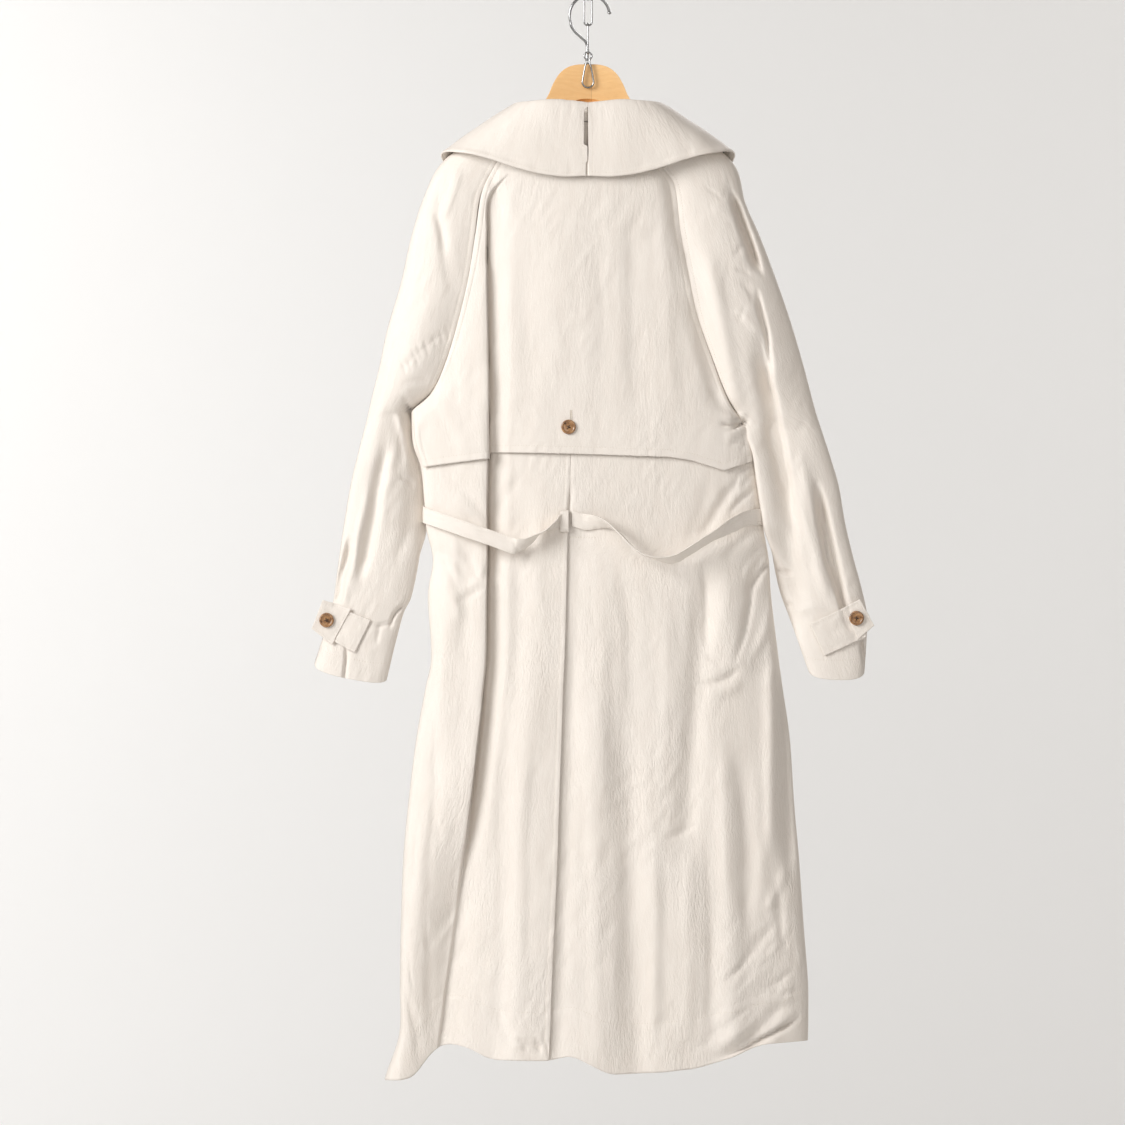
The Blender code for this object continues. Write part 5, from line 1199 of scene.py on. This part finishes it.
def make_hanger(material):
    """The hanger's wooden bar: its outline as a strip, thickened and rounded all round."""
    count = 96
    pick()
    bpy.ops.mesh.primitive_grid_add(x_subdivisions=count, y_subdivisions=6, size=1, location=(0, 0, 0))
    bar = bpy.context.object
    places = np.linspace(0, len(HANGER["x"]) - 1, count // 2 + 1)
    half = {name: smooth(column, places) for name, column in HANGER.items()}
    for point in bar.data.vertices:
        step = int(round((point.co.x + 0.5) * count)) - count // 2
        at = abs(step)
        x = math.copysign(half["x"][at], step)
        drop = half["drop"][at] + (0.5 - point.co.y) * half["height"][at]
        point.co = (x * MM, (HANGER_PLANE + WOOD_THICKNESS / 2) * MM, -drop * MM)
    thick = bar.modifiers.new("thick", "SOLIDIFY")
    thick.thickness = WOOD_THICKNESS * MM
    thick.offset = 0
    rounded = bevelled(bar, 3.2, 5)
    rounded.limit_method = "ANGLE"
    rounded.angle_limit = math.radians(50)
    settle(bar, "hanger_wood", material)
    middle = sum(point.co.y for point in bar.data.vertices) / len(bar.data.vertices)
    for point in bar.data.vertices:
        point.co.y += HANGER_PLANE * MM - middle
    return cut_out(bar, ball(*HANGER_RECESS), "hanger_wood", material)


def wire(name, points, diameter, material, closed=False):
    """A round wire along a line of points, with rounded ends."""
    curve = bpy.data.curves.new(name, "CURVE")
    curve.dimensions = "3D"
    curve.bevel_depth = diameter / 2 * MM
    curve.bevel_resolution = 5
    curve.use_fill_caps = not closed
    line = curve.splines.new("POLY")
    line.points.add(len(points) - 1)
    for place, point in zip(line.points, points):
        place.co = [value * MM for value in point] + [1]
    line.use_cyclic_u = closed
    pick(added(name, curve))
    bpy.ops.object.convert(target="MESH")
    return settle(bpy.context.object, name, material)


def ball(centre, radius, squash=(1, 1, 1)):
    """A ball, round or squashed."""
    pick()
    bpy.ops.mesh.primitive_uv_sphere_add(segments=24, ring_count=12, radius=radius * MM,
                                         location=[value * MM for value in centre], scale=squash)
    return bpy.context.object


def arc(centre, radius, start, end, steps):
    """Points of an arc in the x-z plane, angles in degrees from +X towards +Z."""
    angles = np.radians(np.linspace(start, end, steps + 1))
    return [(centre[0] + radius * math.cos(a), centre[1] + radius * math.sin(a)) for a in angles]


def smooth_path(points, steps=6):
    """A smooth line through points."""
    points = np.array(points, float)
    places = np.linspace(0, len(points) - 1, steps * (len(points) - 1) + 1)
    return np.stack([smooth(points[:, k], places) for k in range(points.shape[1])], axis=1)


def make_hook(material):
    """The hanger's hook: a round bow that ends in a ball, its shank and the collar in the wood."""
    path = arc(HOOK_CENTRE, HOOK_BOW, 8, 200, 48)
    shank = [path[-1]] + [(x, HOOK_CENTRE[1] - below) for x, below in SHANK_ROWS]
    path += [tuple(point) for point in smooth_path(shank)[1:]]
    hook = wire("hanger_hook_wire", [(x, HANGER_PLANE, z) for x, z in path], HOOK_WIRE, material)
    tip = ball((path[0][0], HANGER_PLANE, path[0][1]), TIP_RADIUS)
    pick()
    bpy.ops.mesh.primitive_cylinder_add(vertices=28, radius=FERRULE_RADIUS * MM, depth=FERRULE_HEIGHT * MM,
                                        location=[value * MM for value in FERRULE_PLACE])
    ferrule = bpy.context.object
    bevelled(ferrule, 0.7, 3)
    settle(ferrule, "ferrule", material)
    return settle(joined([hook, tip, ferrule]), "hanger_hook_wire", material)


def make_wall_hook(material):
    """The wall hook: a plate with two screws and a round prong with an upturned, balled end."""
    pick()
    bpy.ops.mesh.primitive_cube_add(size=1, location=(0, -PLATE[1] / 2 * MM, 0),
                                    scale=[value * MM for value in PLATE])
    plate = bpy.context.object
    bpy.ops.object.transform_apply(location=True, rotation=True, scale=True)
    bevelled(plate, 1.1, 4)
    parts = [settle(plate, "plate", material)]
    for z in (SCREW_Z, -SCREW_Z):
        head = ball((0, -2.6, z), SCREW_RADIUS, (1, 0.4, 1))
        pick()
        bpy.ops.mesh.primitive_cube_add(size=1, location=(0, -4.6 * MM, z * MM),
                                        scale=[value * MM for value in SCREW_SLOT], rotation=(0, 0.5, 0))
        parts.append(cut_out(head, bpy.context.object, "screw", material))
    path = smooth_path([(0, -depth, -drop) for depth, drop in PRONG_ROWS])
    parts.append(wire("prong", path, PRONG_BAR, material))
    parts.append(ball(path[-1], TIP_RADIUS))
    return settle(joined(parts), "wall_hook_metal", material)


def make_chain(material):
    """The chain tail before the hanger, two links and a wire clip, each with its body and node."""
    def loop(top, low):
        upper = arc((0, -top - LINK_HALF_WIDTH), LINK_HALF_WIDTH, 0, 180, 20)
        return upper + arc((0, -low + LINK_HALF_WIDTH), LINK_HALF_WIDTH, 180, 360, 20)
    upper = [(x, CHAIN_PLANE, z) for x, z in loop(*LINK_UPPER)]
    lower = [(0, CHAIN_PLANE + y, z) for y, z in loop(*LINK_LOWER)]
    eye = arc((0, -CLIP_TOP - CLIP_EYE_RADIUS), CLIP_EYE_RADIUS, 235, -55, 28)
    bulb = arc((0, -CLIP_LOW + CLIP_BULB_RADIUS), CLIP_BULB_RADIUS, 15, -195, 28)
    right = [(x, rise - CLIP_WAIST) for x, rise in CLIP_SIDE]
    left = [(-x, z) for x, z in reversed(right)]
    clip = [(x, CHAIN_PLANE, z) for x, z in left[-1:] + eye + right + bulb + left[:-1]]
    rows = (("upper_link", "upper_link_wire", upper, "chain_link_upper"),
            ("lower_link", "lower_link_wire", lower, "chain_link_lower"),
            ("clip", "snap_clip_wire", clip, "snap_clip"))
    return [(body, wire(name, points, CHAIN_WIRE, material, True), node)
            for body, name, points, node in rows]


def make_buttonhole(grid, thread):
    """The worked buttonhole that shows above the flap's button: close stitches on both sides of a slit."""
    mesh = bmesh.new()
    for drop in np.arange(*BUTTONHOLE_DROPS, 0.75):
        for start, end in BUTTONHOLE_SIDES:
            spot, normal = grid_place(grid, start, drop)
            near = np.array((start, spot[1], -drop)) + 0.25 * normal
            far = near + np.array((end - start, 0.0, 0.0))
            line = np.array((near, (near + far) / 2, far))
            stitch_mesh(mesh, line, -1, pitch=0.01, length=1.35, width=0.7)
    bmesh.ops.recalc_face_normals(mesh, faces=mesh.faces)
    return sewn_piece("flap_buttonhole", mesh, thread)


class Value:
    """An output of a shader node: plain arithmetic on it adds Math nodes."""

    def __init__(self, finish, socket):
        self.finish = finish
        self.socket = socket

    def maths(self, operation, *others):
        """A Math node on this value and others."""
        terms = dict(enumerate((self,) + others))
        return self.finish.add("ShaderNodeMath", {"operation": operation}, terms)["Value"]

    def __add__(self, other):
        return self.maths("ADD", other)

    __radd__ = __add__

    def __mul__(self, other):
        return self.maths("MULTIPLY", other)

    __rmul__ = __mul__

    def __sub__(self, other):
        return self.maths("SUBTRACT", other)

    def __rsub__(self, other):
        return self * -1.0 + other

    def __pow__(self, other):
        return self.maths("POWER", other)

    def clamped(self):
        """This value kept between 0 and 1."""
        return self.maths("MAXIMUM", 0.0).maths("MINIMUM", 1.0)

    def ridges(self):
        """1 along the lines where a noise passes its middle, less away from them."""
        return 1.0 - (self * 2.0 - 1.0).maths("ABSOLUTE")


class Finish:
    """A material and its nodes."""

    def __init__(self, name):
        self.material = bpy.data.materials.new(name)
        self.material.use_nodes = True
        self.tree = self.material.node_tree
        self.shader = self.tree.nodes["Principled BSDF"]
        self.place = self.add("ShaderNodeTexCoord")["Object"]

    def add(self, kind, settings=None, sockets=None):
        """Adds a node: its settings come first, then the values or links of its sockets."""
        node = self.tree.nodes.new(kind)
        for name, setting in (settings or {}).items():
            if name == "stops":
                for element, (place, colour) in zip(node.color_ramp.elements, setting):
                    element.position = place
                    element.color = colour + (1.0,)
                for place, colour in setting[2:]:
                    node.color_ramp.elements.new(place).color = colour + (1.0,)
            else:
                setattr(node, name, setting)
        for name, value in (sockets or {}).items():
            self.fill(node, name, value)
        return {socket.name: Value(self, socket) for socket in node.outputs if socket.enabled}

    def fill(self, node, name, value):
        """Sets or links one socket of a node, by its name or number."""
        if isinstance(name, int):
            socket = node.inputs[name]
        else:
            socket = next(each for each in node.inputs if each.enabled and each.name == name)
        if isinstance(value, Value):
            self.tree.links.new(value.socket, socket)
        else:
            socket.default_value = value

    def finish(self, **sockets):
        """Fills the shader's sockets; underscores stand for spaces."""
        for name, value in sockets.items():
            self.fill(self.shader, name.replace("_", " "), value)
        return self.material

    def parts(self, place):
        """The parts of some coordinates along each axis."""
        return self.add("ShaderNodeSeparateXYZ", None, {"Vector": place})

    def noise(self, place, scale, detail=2.0, rough=0.5):
        """Fractal noise between 0 and 1."""
        sockets = {"Vector": place, "Scale": scale, "Detail": detail, "Roughness": rough}
        return self.add("ShaderNodeTexNoise", None, sockets)["Fac"]

    def streaks(self, place, stretch, detail=2.0, rough=0.5, turn=(0.0, 0.0, 0.0)):
        """Fractal noise with its own scale along each axis."""
        sockets = {"Vector": place, "Scale": stretch, "Rotation": turn}
        return self.noise(self.add("ShaderNodeMapping", None, sockets)["Vector"], 1.0, detail, rough)

    def blend(self, share, first, second):
        """Mix of two colours."""
        sockets = {"Factor": share, "A": first, "B": second}
        return self.add("ShaderNodeMix", {"data_type": "RGBA"}, sockets)["Result"]

    def bump(self, height, distance, strength=1.0, under=None):
        """Relief from a height in units of the distance."""
        sockets = {"Height": height, "Distance": distance, "Strength": strength}
        if under is not None:
            sockets["Normal"] = under
        return self.add("ShaderNodeBump", None, sockets)["Normal"]


def colour(red, green, blue):
    """A colour with full alpha."""
    return (red, green, blue, 1.0)


# Radians of the weave to a metre, and the drop in metres from which the fine crinkle deepens
WEAVE = 7800.0
CRUSHED_BELOW = 0.56


def crinkled_nylon():
    """Ecru nylon with crinkle running down its length, its crests painted lighter as a highlight, a fine
    weave and a faint sheen.
    """
    finish = Finish("crinkled_nylon")
    threads = finish.add("ShaderNodeUVMap", {"uv_map": "threads"})["UV"]
    wide = finish.streaks(threads, (64.0, 15.0, 1.0), 3.0, 0.55, (0.0, 0.0, 0.10))
    narrow = finish.streaks(threads, (230.0, 62.0, 1.0), 3.0, 0.6, (0.0, 0.0, -0.12))
    crumple = wide.ridges()
    fine = narrow.ridges()
    split = finish.parts(threads)
    weave = (split["X"] * WEAVE).maths("SINE") * (split["Y"] * WEAVE).maths("SINE")
    patchy = (finish.streaks(threads, (14.0, 8.0, 1.0)) * 3.2 - 1.1).clamped()
    relief_low = finish.bump((crumple ** 2.2) * (patchy * 0.7 + 0.3), 0.0009, 0.52)
    crushed = ((finish.parts(finish.place)["Z"] * -1.0 - CRUSHED_BELOW) * 4.0).clamped() * 1.2 + 1.0
    relief_fine = finish.bump((fine ** 2.0) * (patchy * 0.8 + 0.25) * crushed, 0.00034, 0.8, relief_low)
    relief_weave = finish.bump(weave, 0.00004, 0.35, relief_fine)
    cloudy = finish.streaks(threads, (9.0, 5.0, 1.0), 3.0)
    tone = finish.blend(cloudy, colour(0.79, 0.723, 0.65), colour(0.84, 0.784, 0.73))
    # Painted highlight: the crinkle's raised crests are painted lighter, so its valleys read as painted
    # shade
    painted_crest_highlight = finish.blend((crumple ** 5.0) * 0.3, tone, colour(0.87, 0.83, 0.77))
    base = finish.blend(weave * 0.04 + 0.04, painted_crest_highlight, colour(0.62, 0.54, 0.44))
    roughness = (cloudy * 0.14 + 0.52) + fine * 0.06
    return finish.finish(Base_Color=base, Roughness=roughness, Normal=relief_weave, Sheen_Weight=0.12,
                         Sheen_Roughness=0.45, Specular_IOR_Level=0.42)


def twisted_thread(name, dark, light, roughness):
    """Thread of twisted plies: its finish and the plies' noise."""
    finish = Finish(name)
    plies = finish.streaks(finish.place, (2600.0, 2600.0, 900.0), 1.0)
    finish.finish(Base_Color=finish.blend(plies, dark, light), Roughness=plies * 0.2 + roughness)
    return finish, plies


def sewing_thread():
    """Matt polyester thread, a little yellower than the cloth."""
    dark, light = colour(0.66, 0.57, 0.45), colour(0.83, 0.76, 0.64)
    finish, plies = twisted_thread("sewing_thread", dark, light, 0.6)
    return finish.finish(Normal=finish.bump(plies, 0.0002, 0.5), Sheen_Weight=0.1)


def dark_thread():
    """Brown thread that holds the buttons."""
    dark, light = colour(0.05, 0.025, 0.014), colour(0.12, 0.06, 0.035)
    return twisted_thread("dark_thread", dark, light, 0.55)[0].material


def polished_horn():
    """Polished brown horn, mottled and streaked with amber."""
    finish = Finish("polished_horn")
    cloud = finish.streaks(finish.place, (160.0, 90.0, 240.0), 4.0, 0.6)
    streak = finish.streaks(finish.place, (900.0, 200.0, 260.0), 3.0, 0.6, (0.3, 0.2, 0.6))
    shades = finish.add("ShaderNodeValToRGB", {"stops": [
        (0.34, (0.05, 0.022, 0.011)), (0.68, (0.52, 0.30, 0.14)), (0.47, (0.30, 0.15, 0.065))]},
        {"Fac": cloud * 0.7 + streak * 0.3})["Color"]
    scratches = finish.streaks(finish.place, (300.0, 300.0, 4000.0))
    return finish.finish(Base_Color=shades, Roughness=scratches * 0.16 + 0.16,
                         Normal=finish.bump(scratches, 0.00005, 0.3), Coat_Weight=0.35, Coat_Roughness=0.12)


def honey_wood():
    """Varnished beech with its grain along the arms and a glued joint near the middle."""
    finish = Finish("honey_wood")
    drift = finish.streaks(finish.place, (9.0, 30.0, 26.0), 3.0)
    parts = finish.parts(finish.place)
    rings = ((parts["Z"] * 900.0) + drift * 46.0).maths("SINE") * 0.5 + 0.5
    pores = finish.streaks(finish.place, (130.0, 1500.0, 1900.0), 2.0, 0.7)
    light = finish.blend(rings * 0.3, colour(0.97, 0.61, 0.27), colour(0.88, 0.50, 0.19))
    grain = finish.blend((pores ** 3.0) * 0.6, light, colour(0.45, 0.22, 0.08))
    left_of_joint = (parts["X"] * -900.0 + 4.05).clamped()
    joint = ((parts["X"] - 0.0045).maths("ABSOLUTE") * -2600.0 + 1.0).clamped()
    halves = finish.blend(left_of_joint * 0.14, grain, colour(0.42, 0.20, 0.07))
    base = finish.blend(joint * 0.6, halves, colour(0.20, 0.09, 0.03))
    relief_grain = finish.bump(pores * 0.6 - joint, 0.0002, 0.35)
    return finish.finish(Base_Color=base, Roughness=pores * 0.18 + 0.26, Normal=relief_grain,
                         Coat_Weight=0.4, Coat_Roughness=0.18)


def bright_steel():
    """Nickel-plated steel with fine draw marks and a few dull patches."""
    finish = Finish("bright_steel")
    marks = finish.streaks(finish.place, (2400.0, 2400.0, 180.0), 2.0, 0.6)
    dull = finish.noise(finish.place, 55.0, 4.0, 0.6)
    base = finish.blend(dull, colour(0.30, 0.30, 0.31), colour(0.46, 0.46, 0.455))
    return finish.finish(Base_Color=base, Metallic=1.0, Roughness=marks * 0.1 + dull * 0.1 + 0.08,
                         Normal=finish.bump(marks, 0.00004, 0.25))


def plain_paint(name, red, green, blue):
    """Flat paint for the room."""
    finish = Finish(name)
    shades = [colour(red * share, green * share, blue * share) for share in (1.0, 0.985)]
    base = finish.blend(finish.noise(finish.place, 1.5), *shades)
    return finish.finish(Base_Color=base, Roughness=0.9)


# The room, the lights and the camera, in metres
FLOOR = -2.6
ROOM_FRONT = -14.0
ROOM_TOP = 9.0
ROOM_HALF_WIDTH = 16.0
SWEEP_START = 12.4
SWEEP = 1.6
COAT_MIDDLE = (0.0, -0.045, -0.75)
CAMERA_PLACE = (-0.031875, -9.045, -0.749375)
CAMERA_LENS = 230.4
WHITE = (1.0, 1.0, 1.0)
AMBIENT = 0.375


def make_room():
    """A pale floor that sweeps up into a far wall, so the coat is seen all round."""
    profile = [(ROOM_FRONT, FLOOR), (SWEEP_START, FLOOR)]
    for angle in np.linspace(0, math.pi / 2, 25)[1:]:
        profile.append((SWEEP_START + SWEEP * math.sin(angle), FLOOR + SWEEP * (1 - math.cos(angle))))
    profile.append((SWEEP_START + SWEEP, ROOM_TOP))
    points = [(side * ROOM_HALF_WIDTH, y, z) for y, z in profile for side in (-1, 1)]
    faces = [(2 * i, 2 * i + 1, 2 * i + 3, 2 * i + 2) for i in range(len(profile) - 1)]
    mesh = bpy.data.meshes.new("room")
    mesh.from_pydata(points, [], faces)
    linked("room", mesh, plain_paint("pale_wall", 0.86, 0.86, 0.855))


def soft_light(name, place, size, power, tint, target=COAT_MIDDLE):
    """A large soft lamp that looks at a place, else the middle of the coat, and isn't seen itself."""
    data = bpy.data.lights.new(name, "AREA")
    data.shape = "DISK"
    data.size = size
    data.energy = power
    data.color = tint
    lamp = added(name, data)
    lamp.location = place
    lamp.rotation_euler = (Vector(target) - Vector(place)).to_track_quat("-Z", "Y").to_euler()
    lamp.visible_camera = False


def make_camera():
    """The photograph's straight view of the coat."""
    data = bpy.data.cameras.new("camera")
    data.sensor_width = 36.0
    data.lens = CAMERA_LENS
    data.clip_end = 60.0
    camera = added("camera", data)
    camera.location = CAMERA_PLACE
    camera.rotation_euler = (math.pi / 2, 0.0, 0.0)
    bpy.context.scene.camera = camera


def make_world():
    """Even pale light from all round."""
    world = bpy.data.worlds.new("pale")
    world.use_nodes = True
    background = world.node_tree.nodes["Background"]
    background.inputs["Color"].default_value = colour(1.0, 0.93, 0.865)
    background.inputs["Strength"].default_value = AMBIENT
    bpy.context.scene.world = world


def hang(pieces, held, rests_on, extras=(), node=None):
    """Parents pieces of cloth to the coat's body and hides the node each stands for.

    How they hang, what they hang on and the extras are not used.
    """
    for piece in pieces:
        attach(piece, "coat")
        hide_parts(node or piece.name.replace("_cloth", ""))


def fix(piece, body, slot, *nodes):
    """Parents one hard piece, or thread, to the body on which it rides and hides the solids it stands for.
    """
    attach(piece, body)
    if nodes:
        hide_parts(*nodes)


make_camera()
make_room()
make_world()
bpy.context.scene.view_settings.view_transform = "Standard"
soft_light("key", (-3.0, -2.4, 0.8), 2.4, 150.0, WHITE)
soft_light("fill", (1.4, -5.0, 0.9), 2.6, 28.0, (0.98, 0.99, 1.0))
soft_light("behind", (1.6, 3.6, 1.2), 2.4, 90.0, WHITE)
for side, power in ((-1, 190.0), (1, 64.0)):
    soft_light("wall_wash", (side * 4.4, 10.0, 0.8), 3.0, power, WHITE, (side * 0.8, 14.0, 0.3))

NYLON = crinkled_nylon()
THREAD = sewing_thread()
STEEL = bright_steel()

(back_left, back_right), back_stitches = make_back(NYLON, THREAD)
fronts, front_stitches = make_fronts(NYLON, THREAD)
flap, flap_stitches, flap_grid = make_flap(NYLON, THREAD)
sleeves, sleeve_stitches = make_sleeves(NYLON, THREAD)
collars, collar_stitches = make_collar(NYLON, THREAD)
belts, belt_stitches = make_belt(NYLON, THREAD)
straps, strap_stitches, tabs = make_straps(NYLON, THREAD)
buttons, button_stitches = make_buttons(polished_horn(), dark_thread(), flap_grid, tabs)
buttonhole = make_buttonhole(flap_grid, THREAD)
wood = make_hanger(honey_wood())
hook = make_hook(STEEL)
wall = make_wall_hook(STEEL)
chain = make_chain(STEEL)

hang([back_left], "hung", ["front_left_cloth"], [back_stitches])
hang([back_right], "hung", ["front_right_cloth"])
hang(fronts, "hung", ["hanger_wood"], [front_stitches])
hang([flap], "hung", ["back_left_cloth", "back_right_cloth"], [flap_stitches, buttonhole])
hang(sleeves, "hung", ["hanger_wood"], [sleeve_stitches])
hang(collars, "draped", ["hanger_wood"], [collar_stitches])
hang(belts, "hung", ["back_left_cloth"], [belt_stitches])
hang(straps["left"], "laid", ["sleeve_left_back_cloth"], [strap_stitches], "cuff_strap_left")
hang(straps["right"], "laid", ["sleeve_right_back_cloth"], node="cuff_strap_right")
for thread in (back_stitches, front_stitches, flap_stitches, sleeve_stitches, collar_stitches,
               belt_stitches, strap_stitches, button_stitches, buttonhole):
    fix(thread, "coat", "cloth")
for node, button in buttons.items():
    fix(button, "coat", "horn", node)
fix(wood, "coat", "wood", "hanger_bar")
fix(hook, "coat", "steel", "hanger_hook")
fix(wall, "coat", "steel", "wall_hook")
for body, piece, node in chain:
    fix(piece, body, "steel", node)
